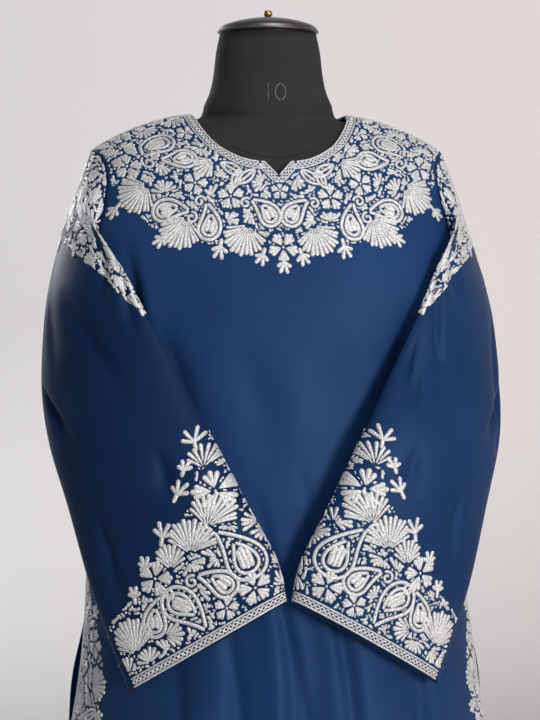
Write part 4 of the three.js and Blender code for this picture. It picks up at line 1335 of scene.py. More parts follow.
class Embroidery:
    """Plans the strands of every embroidered part and lays them in fields."""

    def __init__(self, seed: int) -> None:
        """Keeps one source of chance, so that each run is the same."""
        self.rng = np.random.default_rng(seed)

    def draw(self, plan: Placed, u: float, v: float) -> list[Strand]:
        """The strands of one planned motif at its place on a chart."""
        if plan.kind == "fan":
            count = int(round(math.radians(plan.more) * plan.size / 5.6)) + 1
            return Motifs.fan(u, v, plan.angle, plan.more, count, plan.size)
        if plan.kind == "flower":
            return Motifs.flower(u, v, plan.size, 5, plan.angle)
        if plan.kind == "paisley":
            return Motifs.paisley(u, v, plan.angle, plan.size, plan.size * 0.62, int(plan.more))
        if plan.kind == "leaf":
            return Motifs.leaf(u, v, plan.angle, plan.size)
        return Motifs.sprig(u, v, plan.angle, plan.size)

    @staticmethod
    def border(edge: Array, away: float, pitch: float = 5.3) -> list[Strand]:
        """A cord at the edge, a chain of rings and a second cord.

        Args:
            edge: the edge's line in the chart.
            away: 1 where the cloth lies to the left of the line, and -1 to the right.
            pitch: the chain's step in mm.

        Returns:
            The strands.
        """

        def offset(distance: float) -> Array:
            """The edge's line, moved onto the cloth by a distance."""
            tangent = unit(np.gradient(edge, axis=0))
            return edge + away * distance * np.stack([-tangent[:, 1], tangent[:, 0]], -1)

        out = [(offset(1.3), 1.2), (offset(9.4), 1.0)]
        for x, y in resample(offset(5.4), pitch):
            out.append(Motifs.ring(x, y, 2.1, 0.95))
        return out

    @staticmethod
    def bordered(
        chart: GridChart, low: tuple, high: tuple, border: list[Strand],
        on_cloth: Callable[[Array], Array],
    ) -> tuple[StrandField, list[Strand]]:
        """An empty field that knows where a border runs, and the border cut off at the cloth's edge."""
        work, rim = StrandField(chart, low, high), StrandField(chart, low, high)
        rim.lay(border, on_cloth)
        work.near, work.angle = rim.near, rim.angle
        return work, rim.strands

    @staticmethod
    def free_of(work: StrandField, inside: Callable[[Array], Array]) -> Callable[[Array], Array]:
        """A test that is true inside, wherever the field is still clear when it is made."""
        clear = work.near > CLEAR_OF_BORDER

        def free(p: Array) -> Array:
            """Which places may be taken."""
            i, j = work.cell_of(p)
            return inside(p) & clear[i, j]

        return free

    def yoke(
        self, panel: Panel, plans: tuple, centre: tuple, low_line: tuple
    ) -> tuple[StrandField, list[Strand]]:
        """The yoke of a panel: its border, its planned motifs and the strands between them.

        Args:
            panel: the front or back.
            plans: the motifs of the -X half, repeated on the other half with small changes.
            centre: the motifs on the middle line.
            low_line: places and heights of the filled part's lower edge.

        Returns:
            The field of motifs and fillers, and the border's strands.
        """
        chart = panel.yoke_chart()
        low = (-YOKE_HALF - 1, 0)
        high = (YOKE_HALF + 1, float(chart.lengths[-1].max()) + 2)

        def within(p: Array, side: float, edge_gap: float) -> Array:
            """Which places keep clear of the armholes and of the neck and shoulder edge."""
            u, v = p[..., 0], p[..., 1]
            return (np.abs(u) < YOKE_HALF - side) & (v > 1) & (v < chart.reach(u) - edge_gap)

        def inside(p: Array) -> Array:
            """Which places the motifs may take."""
            return within(p, 3.5, 2.6)

        def on_cloth(p: Array) -> Array:
            """Which places the border may take."""
            return within(p, 2, 1.3)

        neck = NECK_X / TIP_X * YOKE_HALF
        u = np.linspace(-neck, neck, 241)
        edge = np.stack([u, chart.reach(u)], -1)
        edge = resample(edge, 1.2)
        shoulder = np.linspace(neck + 14, YOKE_HALF - 4, 60)
        seam = [(np.stack([u, chart.reach(u) - 3.2], -1), 1.1) for u in (-shoulder, shoulder)]
        work, rim = self.bordered(chart, low, high, self.border(edge, -1), on_cloth)
        free = self.free_of(work, inside)
        for hand in (1, -1):
            for plan in plans:
                jitter = self.rng.normal(0, 1.1, 2) if hand < 0 else np.zeros(2)
                across = plan.x / TIP_X * YOKE_HALF
                along = float(chart.v_of(across, plan.z))
                motif = self.draw(plan, across + jitter[0], along + jitter[1])
                work.lay(motif if hand > 0 else mirror(motif), free)
        for plan in centre:
            work.lay(self.draw(plan, plan.x, float(chart.v_of(plan.x, plan.z))), free)
        work.lay(seam, inside)
        line_x, line_z = np.array(low_line, float).T
        line_u = line_x / TIP_X * YOKE_HALF
        low_v = np.array([float(chart.v_of(u, z)) for u, z in zip(line_u, line_z)])
        floor = np.interp(np.abs(work.u), line_u, low_v)
        cells = np.stack([work.u, work.v], -1)
        work.fill(free(cells) & (work.v > floor), self.rng)
        return work, rim

    def charted(
        self, chart: GridChart, plans: tuple, low: tuple, high: tuple, outline: Outline,
        both: bool = False, edge: Array | None = None,
    ) -> tuple[StrandField, list[Strand]]:
        """The work of a sleeve or pocket: a border, planned motifs and what fills the rest.

        Args:
            chart: the map.
            plans: its motifs.
            low: the field's lowest U and V.
            high: its highest U and V.
            outline: the line that the fillers stay under.
            both: whether the motifs and outline are repeated where U is below zero.
            edge: a line along which the ring chain runs, or None for no border.

        Returns:
            The field and the border's strands.
        """

        def inside(p: Array) -> Array:
            """Which places lie on the chart."""
            u, v = p[..., 0], p[..., 1]
            return (u > low[0] + 1) & (u < high[0] - 1) & (v > 1.2) & (v < high[1] - 1)

        border = [] if edge is None else self.border(edge, 1)
        work, rim = self.bordered(chart, low, high, border, inside)
        free = self.free_of(work, inside)
        for hand in (1, -1) if both else (1,):
            for plan in plans:
                motif = self.draw(plan, plan.x, plan.z)
                work.lay(motif if hand > 0 else mirror(motif), free)
        cells = np.stack([work.u, work.v], -1)
        height = np.interp(np.abs(work.u) if both else work.u, outline.places, outline.heights)
        work.fill(free(cells) & (work.v < height), self.rng)
        return work, rim


@dataclass
class Sleeve:
    """A sleeve, worked out on the -X side; the other one is seen in the middle plane."""

    name: str
    flip: bool
    slopes: tuple[Slope, ...]
    finishes: Finishes
    rows: int = 110
    columns: int = 144
    along: Array = field(init=False)
    around: Array = field(init=False)
    outer: Array = field(init=False)
    normals: Array = field(init=False)

    def __post_init__(self) -> None:
        """Works out the wall's grid."""
        self.along = np.linspace(0, 1, self.rows)
        self.around = np.linspace(0, 2 * np.pi, self.columns, endpoint=False)
        self.outer, self.normals = self.wall(self.along, self.around)

    @staticmethod
    def armhole(around: Array) -> tuple[Array, Array]:
        """The armhole's loop, one gap outside the panels' edge, and the robe's normal there."""

        def edge(a: Array) -> tuple[Array, Array]:
            """The panels' edge round the hole, and their normals there."""
            points, normals = np.zeros((*a.shape, 3)), np.zeros((*a.shape, 3))
            for side in Side:
                mine = (np.sin(a) >= 0) == (side is Side.FRONT)
                z = HOLE_Z + HOLE_HALF * np.cos(a)
                y = -HOLE_DEPTHS[side] * np.sin(a)
                found = np.stack([-ROBE.width_at(y, z, side), y, z], -1)
                points = np.where(mine[..., None], found, points)
                normals = np.where(mine[..., None], ROBE.normal(found, side), normals)
            return points, normals

        here, normal = edge(around)
        tangent = unit(edge(around + 0.02)[0] - edge(around - 0.02)[0])
        return here + ARMHOLE_GAP * unit(np.cross(tangent, normal)), normal

    @staticmethod
    def section(ring: Ring, around: Array) -> Array:
        """A superellipse bent through its four points: a mean, two spans and a bend."""
        c = signed_power(np.cos(around), 2 / ring.power)[:, None]
        s = signed_power(np.sin(around), 2 / ring.power)[:, None]
        bend = (c**2 - s**2) / (c**2 + s**2)
        top, front, under, back = (np.array(p, float) for p in ring[2:])
        flat = (top + front + under + back) / 4 + (top - under) / 2 * c + (front - back) / 2 * s
        return flat + (top + under - front - back) / 4 * bend

    def surface(self, along: Array, around: Array) -> Array:
        """The smooth sleeve: each angle's points carried along by cubic pieces."""
        keys = np.array([0.0, *(ring.along for ring in SLEEVE_RINGS)])
        loops = [self.armhole(around)[0], *(self.section(ring, around) for ring in SLEEVE_RINGS)]
        return curve_through(keys, np.stack(loops), along)

    def wall(self, along: Array, around: Array) -> tuple[Array, Array]:
        """The outer face with its creases, and its normals."""
        base = self.surface(along, around)
        u = np.clip(along, 0.004, 0.996)
        down = self.surface(u + 0.004, around) - self.surface(u - 0.004, around)
        turn = self.surface(u, around + 0.02) - self.surface(u, around - 0.02)
        blend = ramp(along, 0, 0.05)[:, None, None]
        normal = unit(self.armhole(around)[1] * (1 - blend) + unit(np.cross(down, turn)) * blend)
        degrees = np.degrees(around)
        depth = np.zeros(base.shape[:2])
        scale = 600.0, 1.6
        for slope in self.slopes:
            for turn_ in (-360, 0):
                start = (slope.along0 * scale[0], slope.around0 * scale[1])
                end = (slope.along1 * scale[0], slope.around1 * scale[1])
                at = along[:, None] * scale[0], (degrees + turn_)[None] * scale[1]
                depth += slope.depth * trough(*at, start, end, slope.half)
        depth *= ramp(along, 0.03, 0.12)[:, None] * ramp(along, 1.0, 0.93)[:, None]
        return base + normal * depth[..., None], normal

    def cloth(self) -> bpy.types.Object:
        """The sleeve's wall."""
        inner = self.outer - self.normals * WALL
        points = np.concatenate([self.outer.reshape(-1, 3), inner.reshape(-1, 3)])
        if self.flip:
            points = points * np.array([-1, 1, 1])
        faces = shell_faces(self.rows, self.columns, ring=True)
        # The sleeve's satin is a darkened copy of the body's: painted shade.
        satin = self.finishes.sleeves[self.name]
        piece = Mesher.build(f"{self.name}_cloth", points, Mesher.outwards(points, faces), satin)
        return settle(piece, "robe_cloth", self.name)

    def area(self) -> float:
        """The outer face's area in square metres."""
        grid = np.concatenate([self.outer, self.outer[:, :1]], axis=1)
        d1, d2 = grid[1:, 1:] - grid[:-1, :-1], grid[1:, :-1] - grid[:-1, 1:]
        return float(np.linalg.norm(np.cross(d1, d2), axis=-1).sum() / 2) * MM * MM

    def head_chart(self) -> GridChart:
        """The map below the armhole: U runs round from the tip, V down the sleeve."""
        around = np.radians(np.linspace(-110, 140, 160))
        along = np.linspace(0.0, 0.5, 90)
        points, normals = self.wall(along, around)
        middle = points[30]
        length = np.concatenate([[0], np.cumsum(np.linalg.norm(np.diff(middle, axis=0), axis=1))])
        return GridChart(points, normals, length - np.interp(0, around, length))

    def cuff_chart(self) -> GridChart:
        """The map above the cuff: U runs round from the front fold, V up from the edge."""
        around = np.radians(np.linspace(90 + 178, 90 - 178, 240))
        along = np.linspace(1.0, 0.35, 100)
        points, normals = self.wall(along, around)
        rim = points[0]
        length = np.concatenate([[0], np.cumsum(np.linalg.norm(np.diff(rim, axis=0), axis=1))])
        return GridChart(points, normals, length - length[len(length) // 2])


CUFF_PLANS = (
    Placed("paisley", 24, 66, 100, 58, -1),
    Placed("paisley", 96, 44, 228, 54, 1),
    Placed("paisley", 132, 52, 112, 40, 1),
    Placed("paisley", 56, 52, 70, 40, -1),
    Placed("fan", 167, 28, 98, 38, 110),
    Placed("fan", 66, 88, 124, 38, 110),
    Placed("fan", 38, 104, 136, 36, 100),
    Placed("flower", 16, 132, 100, 21),
    Placed("flower", 112, 84, 60, 19),
    Placed("flower", 30, 28, 20, 17),
    Placed("flower", 62, 24, 50, 13),
    Placed("fan", 15, 157, 112, 25, 90),
    Placed("fan", 92, 84, 118, 28, 90),
    Placed("fan", 130, 30, 200, 22, 90),
    Placed("sprig", 12, 184, 100, 18),
    Placed("sprig", 46, 146, 144, 18),
    Placed("sprig", 82, 116, 132, 20),
    Placed("sprig", 116, 98, 120, 15),
    Placed("sprig", 142, 78, 112, 14),
    Placed("sprig", 30, 164, 130, 13),
)
HEAD_PLANS = (
    Placed("paisley", -28, 44, 95, 44, 1),
    Placed("paisley", 34, 52, 80, 46, -1),
    Placed("flower", 2, 78, 0, 18),
    Placed("flower", 0, 26, 30, 15),
    Placed("fan", 2, 88, 270, 34, 110),
    Placed("fan", 52, 84, 290, 36, 110),
    Placed("fan", -46, 76, 250, 34, 110),
    Placed("flower", 70, 50, 20, 16),
    Placed("flower", -64, 44, 20, 14),
    Placed("fan", 84, 60, 300, 28, 90),
    Placed("sprig", 30, 116, 275, 16),
    Placed("sprig", 76, 108, 285, 16),
    Placed("sprig", -20, 108, 262, 15),
    Placed("sprig", -74, 82, 250, 14),
    Placed("sprig", 100, 74, 310, 14),
    Placed("fan", 98, 96, 280, 30, 90),
    Placed("sprig", 104, 128, 275, 18),
    Placed("sprig", 118, 110, 300, 14),
    Placed("flower", 88, 88, 10, 14),
)
POCKET_PLANS = (
    Placed("sprig", 958, 8, 5, 14),
    Placed("fan", 922, 14, 15, 30, 80),
    Placed("paisley", 890, 22, 180, 40, 1),
    Placed("flower", 856, 26, 30, 15),
    Placed("paisley", 822, 26, 0, 42, -1),
    Placed("fan", 784, 24, 200, 32, 90),
    Placed("flower", 760, 22, 60, 14),
    Placed("sprig", 712, 12, 180, 16),
    Placed("fan", 740, 18, 190, 26, 80),
    Placed("flower", 880, 58, 20, 16),
    Placed("fan", 836, 56, 70, 30, 110),
    Placed("leaf", 800, 52, 60, 26),
    Placed("paisley", 768, 60, 60, 38, 1),
    Placed("sprig", 910, 54, 50, 15),
    Placed("sprig", 722, 50, 130, 15),
    Placed("sprig", 808, 76, 90, 14),
)


@dataclass
class DressForm:
    """The limbless form: torso and neck, its cap and knob, and the pole and base below."""

    finishes: Finishes
    columns: int = 128
    neck_top: float = FORM_SECTIONS[-1].z
    fit: float = 0.3
    disc_radius: float = 40.0
    disc_height: float = 5.0
    cap_rim: float = 55.0
    cap_rim_z: float = 1528.5
    cap_lip: float = 3.4
    cap_crown: float = 22.0
    cap_crown_z: float = 1543.0
    knob_radius: float = 5.0
    knob_height: float = 7.0
    pole_radius: float = 16.0
    base_radius: float = 190.0
    base_thick: float = 14.0
    hub_radius: float = 30.0
    hub_z: float = 44.0

    def section(self, z: Array, side: Side) -> tuple[Array, Array, Array]:
        """The form's section; on the shoulders its width is the robe's line, a little lower."""
        width, depth, power = Sections(FORM_SECTIONS).at(z, side)
        follow = ramp(z, 1394, 1404) * (1 - ramp(z, 1424, 1430))
        return width * (1 - follow) + shoulder_x(z + FORM_REST) * follow, depth, power

    def torso(self) -> bpy.types.Object:
        """The torso through fine rings, each end closed by rings that shrink to a point."""
        z = np.concatenate([np.linspace(802, 1390, 120), np.linspace(1391.5, 1450, 60),
                            np.linspace(1452, self.neck_top, 40)])
        a = np.linspace(0, 2 * np.pi, self.columns, endpoint=False)
        loops = np.zeros((len(z), len(a), 3))
        for side in Side:
            mine = (np.sin(a) >= 0) == (side is Side.BACK)
            width, depth, power = (k[:, None] for k in self.section(z, side))
            x = width * np.sign(np.cos(a)) * np.abs(np.cos(a)) ** (2 / power)
            y = depth * np.sign(np.sin(a)) * np.abs(np.sin(a)) ** (2 / power)
            found = np.stack([x, y, np.broadcast_to(z[:, None], x.shape)], -1)
            loops = np.where(mine[None, :, None], found, loops)
        low = [loops[0] * [s, s, 1] for s in (0.001, 0.5, 0.93)]
        high = [loops[-1] * [s, s, 1] for s in (0.97, 0.5, 0.001)]
        loops = np.concatenate([np.stack(low), loops, np.stack(high)])
        faces = tube_faces(len(loops), self.columns)
        points = loops.reshape(-1, 3)
        piece = Mesher.build("form_jersey", points, Mesher.outwards(points, faces), self.finishes.jersey)
        return settle(piece, "form_jersey", "form_torso")

    def turned(
        self, name: str, profile: list[tuple[float, float]], material: bpy.types.Material,
        slot: str, *nodes: str,
    ) -> bpy.types.Object:
        """A lathe-turned piece from radius and height pairs, its corners eased by short steps."""
        line = np.array(profile, float)
        eased = [line[0]]
        for before, here, after in zip(line[:-2], line[1:-1], line[2:]):
            for other in (before, after):
                run = np.linalg.norm(other - here)
                eased.append(here + (other - here) * min(0.5, run * 0.3) / max(run, 1e-6))
        eased.append(line[-1])
        line = np.array(eased)
        line[:, 0] = np.maximum(line[:, 0], 0.02)
        a = np.linspace(0, 2 * np.pi, 96, endpoint=False)
        radius, z = line[:, :1], line[:, 1:]
        points = np.stack([radius * np.cos(a), radius * np.sin(a), z + 0 * a], -1)
        faces = tube_faces(len(line), len(a))
        points = points.reshape(-1, 3)
        piece = Mesher.build(name, points, Mesher.outwards(points, faces), material)
        modifier = piece.modifiers.new("edges", "EDGE_SPLIT")
        modifier.split_angle = math.radians(38)
        return settle(piece, slot, *nodes)

    def head(self) -> None:
        """The wooden disc, the domed cap and its knob."""
        disc_low = self.neck_top + self.fit
        disc_top = disc_low + self.disc_height
        inside = disc_top + self.fit
        self.turned(
            "neck_disc", [(0, disc_low), (self.disc_radius, disc_low), (self.disc_radius, disc_top),
                          (0, disc_top)], self.finishes.wood, "varnished_wood", "form_disc",
        )
        dome = [
            (self.cap_crown * math.sin(t) + (self.cap_rim - self.cap_crown - 1.5) * math.sin(t) ** 2,
             self.cap_rim_z + (self.cap_crown_z - self.cap_rim_z) * math.cos(t))
            for t in np.linspace(math.pi / 2, 0, 15)
        ]
        lip = self.cap_rim_z - self.cap_lip
        self.turned(
            "domed_cap", [(0, inside), (self.disc_radius, inside), (self.cap_rim - 3, lip),
                          (self.cap_rim, lip + self.cap_lip / 2), *dome],
            self.finishes.metal, "cap_metal", "form_cap",
        )
        low = self.cap_crown_z + self.fit
        ball = [
            (self.knob_radius * (0.3 + 0.7 * math.sin(t)), low + self.knob_height * (1 - math.cos(t)) / 2)
            for t in np.linspace(0, math.pi, 14)
        ]
        self.turned(
            "cap_knob", [(0, low), *ball, (0, low + self.knob_height)], self.finishes.brass,
            "knob_brass", "form_knob",
        )

    def stand(self) -> None:
        """The pole under the form and its round base."""
        low, high = self.hub_z + self.fit, FORM_SECTIONS[0].z - self.fit
        r = self.pole_radius
        self.turned(
            "pole", [(0, low), (r, low), (r, 400), (r, high), (0, high)], self.finishes.steel,
            "pole_metal", "stand_pole",
        )
        b, h = self.base_radius, self.hub_radius
        edge = [
            (b - 6 + 6 * math.sin(t), self.base_thick - 6 + 6 * math.cos(t))
            for t in np.linspace(math.pi / 2, 0, 8)
        ]
        sweep = [
            (h + 8 * (1 - math.sin(t)) ** 1.4 * 3, self.base_thick + 9 * math.sin(t) ** 1.5)
            for t in np.linspace(0, math.pi / 2, 8)
        ]
        self.turned(
            "round_base", [(0, 0), (b - 1, 0), (b, 1), *edge, *sweep, (h - 4, self.hub_z), (0, self.hub_z)],
            self.finishes.enamel, "base_enamel", "stand_base",
        )

    def front_chart(self) -> GridChart:
        """The map over the front of the form's chest and neck: U is X, V the height over 1360."""
        z = np.linspace(1360, 1520, 120)
        x = np.linspace(-50, 50, 90)
        width, depth, power = (k[:, None] for k in self.section(z, Side.FRONT))
        y = -depth * np.maximum(0, 1 - (np.abs(x) / width) ** power) ** (1 / power)
        points = np.stack([np.broadcast_to(x, y.shape), y, np.broadcast_to(z[:, None], y.shape)], -1)
        du, dv = np.gradient(points, axis=1), np.gradient(points, axis=0)
        return GridChart(points, unit(np.cross(du, dv)), x)

    def marks(self) -> None:
        """The neck's seam as a fine cord, and a chalked number."""
        chart = self.front_chart()

        def at(x: Array, z: Array) -> Array:
            """Places on the chart for X and the height."""
            v = [float(chart.v_of(a, b)) for a, b in zip(np.atleast_1d(x), np.atleast_1d(z))]
            return np.stack([np.atleast_1d(x), np.array(v)], -1)

        x = np.linspace(-48, 48, 60)
        seam = [(at(x, 1389 + 13 * (np.abs(x) / 48) ** 1.6), 0.7)]
        piece = Couching.build("form_seam", chart, seam, self.finishes.jersey, height=0.9)
        settle(piece, "form_jersey")
        one = [(at(np.full(8, -6.0), np.linspace(1450, 1468, 8)), 0.55)]
        t = np.linspace(0, 2.05 * np.pi, 24)
        zero = [(at(7 + 5.5 * np.cos(t), 1459 + 8.5 * np.sin(t)), 0.55)]
        piece = Couching.build("chalk_number", chart, one + zero, self.finishes.chalk, height=0.18)
        settle(piece, "form_jersey")


@dataclass
class PocketBag:
    """A flat pouch inside the skirt, from its slash's mouth forward to its blind end."""

    out: int
    finishes: Finishes
    around: int = 48
    loops_between: int = 5
    wall_thick: float = 1.5
    gap: float = 1.2
    table: tuple = (
        (0.9965, 0.9994, 0, 0), (0.988, 0.9995, 15, 4), (0.97, 0.975, 17, 10),
        (0.93, 0.93, 17, 16), (0.88, 0.88, 16, 22), (0.83, 0.83, 13, 26), (0.81, 0.81, 9, 28),
    )

    def loop(self, row: Array, mouth: bool, inset: float) -> Array:
        """One loop: its near half keeps to the front panel, its far half is one hollow in."""
        near, far, deep, down = row
        half = (SLASH_HIGH - SLASH_LOW) / 2 - 14
        a = np.linspace(0, 2 * np.pi, self.around, endpoint=False)
        z = (SLASH_LOW + SLASH_HIGH) / 2 - down + (half - inset) * signed_power(np.cos(a), 0.5)
        clear = WALL + self.gap

        def inside(w: float, inward: float, side: Side) -> Array:
            """The line at a share of the half width, moved in from the wall."""
            outer, normal = ROBE.wall(np.full_like(z, self.out * w), z, side)
            return outer - normal * inward

        front = inside(near, clear, Side.FRONT)
        back = inside(far, clear, Side.BACK) if mouth else inside(far, clear + deep, Side.FRONT)
        centre = (front + back) / 2
        run = np.linalg.norm(front - centre, axis=1)
        reach = signed_power(np.sin(a), 0.8) * (1 - inset / run)
        return centre + (front - back) * reach[:, None] / 2

    def build(self) -> bpy.types.Object:
        """The pouch: outside loops, then inside loops back to the mouth, closed at each end."""
        rows = np.array(self.table, float)
        outside = [self.loop(row, k == 0, 0) for k, row in enumerate(rows)]
        within = [self.loop(row, k == 0, self.wall_thick) for k, row in enumerate(rows[:-1])]

        def fine(loops: list[Array]) -> Array:
            """More loops between the given ones."""
            keys = np.arange(len(loops), dtype=float)
            between = np.linspace(0, keys[-1], len(loops) * self.loops_between)
            return curve_through(keys, np.stack(loops), between)

        def end(loop: Array) -> Array:
            """A loop drawn together to its middle, which closes the pouch there."""
            return ((loop - loop.mean(0)) * 0.001 + loop.mean(0))[None]

        outer, inner = fine(outside), fine(within)
        loops = np.concatenate([end(outer[-1]), outer[::-1], inner, end(inner[-1])])
        faces = tube_faces(len(loops), self.around)
        points = loops.reshape(-1, 3)
        name = "pocket_bag_right" if self.out < 0 else "pocket_bag_left"
        piece = Mesher.build(f"{name}_cloth", points, Mesher.outwards(points, faces), self.finishes.lining)
        return settle(piece, "pocket_cloth", name)


class Lamp(NamedTuple):
    """A round soft light: its place and what it faces in metres, its size, power and colour."""

    name: str
    place: tuple[float, float, float]
    aim: tuple[float, float, float]
    size: float
    power: float
    colour: tuple[float, float, float]


@dataclass(frozen=True)
class Studio:
    """The pale studio: floor and backdrop, soft lights and the camera of the photograph."""

    azimuth: float = -6.5
    elevation: float = 3.4
    distance: float = 2.0
    aim_z: float = 1.174
    lens: float = 92.0
    shift: float = 2 / 720
    wall: float = 8500.0
    corner: float = 5500.0
    lamps: tuple[Lamp, ...] = (
        Lamp("key", (2.3, -4.4, 1.7), (0, 0, 0.95), 1.4, 134, (1, 0.98, 0.95)),
        Lamp("top", (0.2, -0.9, 3.0), (0, 0, 1.4), 1.0, 14, (1, 1, 1)),
        Lamp("back", (-2.4, 4.4, 2.6), (0, 0, 1.0), 1.6, 60, (1, 1, 1)),
    )
    paper_lamps: tuple[tuple[str, float, float], ...] = (
        ("behind", 88, 335), ("right", 0, 75), ("left", 180, 45), ("before", 270, 80),
    )

    def camera(self) -> None:
        """Places the camera at the photograph's angle."""
        a, e = math.radians(self.azimuth), math.radians(self.elevation)
        back = np.array([math.sin(a) * math.cos(e), -math.cos(a) * math.cos(e), math.sin(e)])
        data = bpy.data.cameras.new("camera")
        data.lens, data.sensor_width, data.shift_x = self.lens, 36.0, self.shift
        data.clip_end = 60
        camera = bpy.data.objects.new("camera", data)
        bpy.context.scene.collection.objects.link(camera)
        camera.location = np.array([0, 0, self.aim_z]) + back * self.distance
        camera.rotation_euler = (math.radians(90 - self.elevation), 0, a)
        bpy.context.scene.camera = camera

    @staticmethod
    def hang(lamp: Lamp) -> None:
        """Puts a lamp in its place and turns it towards what it faces."""
        data = bpy.data.lights.new(lamp.name, "AREA")
        data.size, data.energy, data.color = lamp.size, lamp.power, lamp.colour
        data.shape = "DISK"
        light = bpy.data.objects.new(lamp.name, data)
        bpy.context.scene.collection.objects.link(light)
        to = np.array(lamp.aim, float) - np.array(lamp.place, float)
        flat = math.hypot(to[0], to[1])
        light.location = lamp.place
        light.rotation_euler = (math.atan2(flat, -to[2]), 0, math.atan2(to[1], to[0]) - math.pi / 2)

    def room(self) -> None:
        """A round paper room: a floor that sweeps up into its wall, the world and the lights."""
        t = np.linspace(0, np.pi / 2, 16)
        sweep = self.corner
        r = np.concatenate([[1, 2000], self.wall - sweep + sweep * np.sin(t), [self.wall]])
        z = np.concatenate([[0, 0], sweep - sweep * np.cos(t), [self.wall]])
        a = np.linspace(0, 2 * np.pi, 96, endpoint=False)
        points = np.stack(
            [r[:, None] * np.cos(a), r[:, None] * np.sin(a), np.repeat(z[:, None], len(a), axis=1)], -1
        )
        faces = tube_faces(len(r), len(a))
        nodes = Nodes("studio paper")
        place = nodes.new("ShaderNodeTexCoord")
        split = nodes.new("ShaderNodeSeparateXYZ")
        nodes.link(place.outputs["Object"], split.inputs["Vector"])
        # The paper runs from a cool grey at -X to a lighter, warmer tone at +X: painted shade on the -X
        # side.
        paper_painted_shade = nodes.new("ShaderNodeMapRange", From_Min=-2.6, From_Max=2.4)
        nodes.link(split.outputs["X"], paper_painted_shade.inputs["Value"])
        nodes.blend(paper_painted_shade.outputs["Result"], (0.58, 0.60, 0.64), (0.76, 0.71, 0.70), 0.0, 1.0)
        nodes.set(Roughness=0.9)
        room = Mesher.build("studio", points.reshape(-1, 3), faces.reshape(-1, 4), nodes.material)
        world = bpy.data.worlds.new("soft room")
        world.use_nodes = True
        world.node_tree.nodes["Background"].inputs["Color"].default_value = (0.86, 0.9, 1.0, 1)
        world.node_tree.nodes["Background"].inputs["Strength"].default_value = 0.05
        bpy.context.scene.world = world
        for lamp in self.lamps:
            self.hang(lamp)
        for name, turn, power in self.paper_lamps:
            a = math.radians(turn)
            way = np.array([math.cos(a), math.sin(a), 0])
            place, aim = 1.6 * way + (0, 0, 4.2), 8 * way + (0, 0, 5.6)
            self.hang(Lamp(f"paper_{name}", tuple(place), tuple(aim), 3.0, power, (1, 0.985, 0.97)))


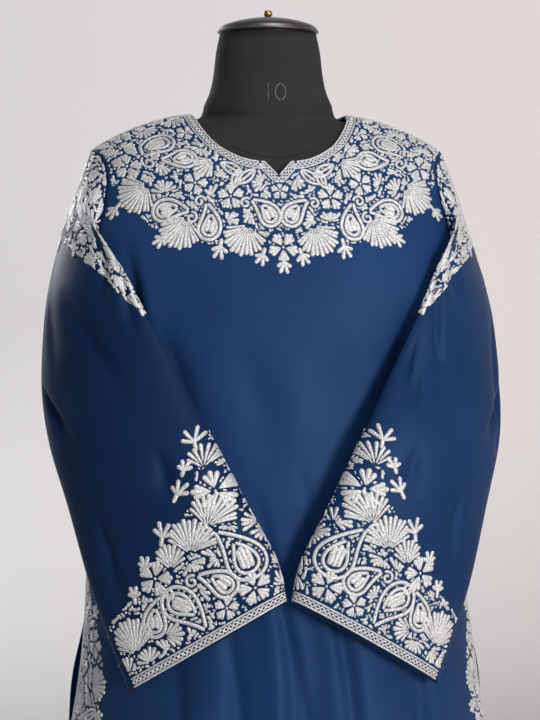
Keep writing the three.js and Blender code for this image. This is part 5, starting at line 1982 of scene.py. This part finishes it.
@dataclass
class Pheran:
    """The whole garment: panels, sleeves, pocket bags and every piece of embroidery."""

    finishes: Finishes
    seed: int = 11

    def build(self) -> None:
        embroidery = Embroidery(self.seed)
        front, back = Panel(Side.FRONT, self.finishes), Panel(Side.BACK, self.finishes)
        front_piece, back_piece = front.cloth(), back.cloth()
        low_front = ((0, 1290), (60, 1296), (100, 1304), (135, 1316), (165, 1342), (200, 1374))
        low_back = ((0, 1376), (100, 1374), (200, 1362))
        front_pieces = self.yoke(embroidery, front, YOKE_FRONT, YOKE_CENTRE, low_front)
        back_pieces = self.yoke(embroidery, back, YOKE_BACK, BACK_CENTRE, low_back)
        front_pieces.append(front.hem())
        back_pieces.append(back.hem())
        for out, name in ((-1, "right"), (1, "left")):
            front_pieces += self.pocket(embroidery, front, out, name)
        self.declare(front_piece, front.area(), cut_size(front.outer), front_pieces)
        self.declare(back_piece, back.area(), cut_size(back.outer), back_pieces)
        self.sleeves(embroidery)
        for out in (-1, 1):
            bag = PocketBag(out, self.finishes).build()

    @staticmethod
    def declare(piece: bpy.types.Object, area: float, flat: tuple[float, float], on: list) -> None:
        """States a piece's cut: its widest width, its length and its own area."""
        log.info("%s: %.3f square metres of %s m", piece.name, area, flat)

    def sew_on(
        self, part: str, rim_part: str, where: str, field_of_work: StrandField, rim: list[Strand],
        flip: bool = False,
    ) -> list[bpy.types.Object]:
        """A part's work and its border, which stands for the solids' braid."""
        thread, chart = self.finishes.thread, field_of_work.chart
        work = Couching.build(f"{part}_work_{where}", chart, field_of_work.strands, thread, flip)
        border = Couching.build(
            f"{rim_part}_border_{where}", chart, rim, thread, flip, height=1.1, step=1.1
        )
        settle(work, "silver_thread")
        settle(border, "silver_thread", f"{rim_part}_braid_{where}")
        return [work, border]

    def yoke(
        self, embroidery: Embroidery, panel: Panel, plans: tuple, centre: tuple, low: tuple
    ) -> list[bpy.types.Object]:
        """The yoke's work and the border along the neckline."""
        work, rim = embroidery.yoke(panel, plans, centre, low)
        return self.sew_on("yoke", "neck", panel.side.name.lower(), work, rim)

    def pocket(
        self, embroidery: Embroidery, panel: Panel, out: int, name: str
    ) -> list[bpy.types.Object]:
        """The band beside a pocket slash."""
        chart = panel.slash_chart(out)
        z = np.linspace(700, 958, 260)
        edge = np.stack([z, np.zeros_like(z)], -1)
        work, rim = embroidery.charted(
            chart, POCKET_PLANS, (692, 0), (973, 96), POCKET_OUTLINE, edge=edge
        )
        return self.sew_on("pocket", "pocket", name, work, rim)

    def sleeves(self, embroidery: Embroidery) -> None:
        """Both sleeves with the work on their heads and cuffs."""
        thread = self.finishes.thread
        plans = (("right", False, RIGHT_SLOPES), ("left", True, LEFT_SLOPES))
        for name, flip, slopes in plans:
            sleeve = Sleeve(f"sleeve_{name}", flip, slopes, self.finishes)
            cloth = sleeve.cloth()
            head = sleeve.head_chart()
            work, _ = embroidery.charted(
                head, HEAD_PLANS, (float(head.labels[0]), 0), (float(head.labels[-1]), 150),
                HEAD_OUTLINE,
            )
            on = [Couching.build(f"sleeve_head_work_{name}", head, work.strands, thread, flip)]
            settle(on[0], "silver_thread")
            cuff = sleeve.cuff_chart()
            half = float(min(cuff.labels[-1], -cuff.labels[0]))
            outline = Outline((0, 10, 26, 46, 84, 120, half), (186, 180, 150, 128, 104, 86, 66))
            u = np.linspace(-half, half, 360)
            edge = np.stack([u, np.zeros_like(u)], -1)
            work, rim = embroidery.charted(
                cuff, CUFF_PLANS, (-half, 0), (half, 205), outline, both=True, edge=edge
            )
            on += self.sew_on("cuff", "cuff", name, work, rim, flip)
            self.declare(cloth, sleeve.area(), cut_size(sleeve.outer, tube=True), on)


def main() -> None:
    """Builds the object and its studio."""
    logging.basicConfig(level=logging.INFO, format="%(name)s: %(message)s")
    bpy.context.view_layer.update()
    bpy.context.scene.view_settings.view_transform = "Standard"
    finishes = Finishes()
    form = DressForm(finishes)
    form.torso()
    form.marks()
    form.head()
    form.stand()
    Pheran(finishes).build()
    studio = Studio()
    studio.room()
    studio.camera()


if __name__ == "__main__":
    main()
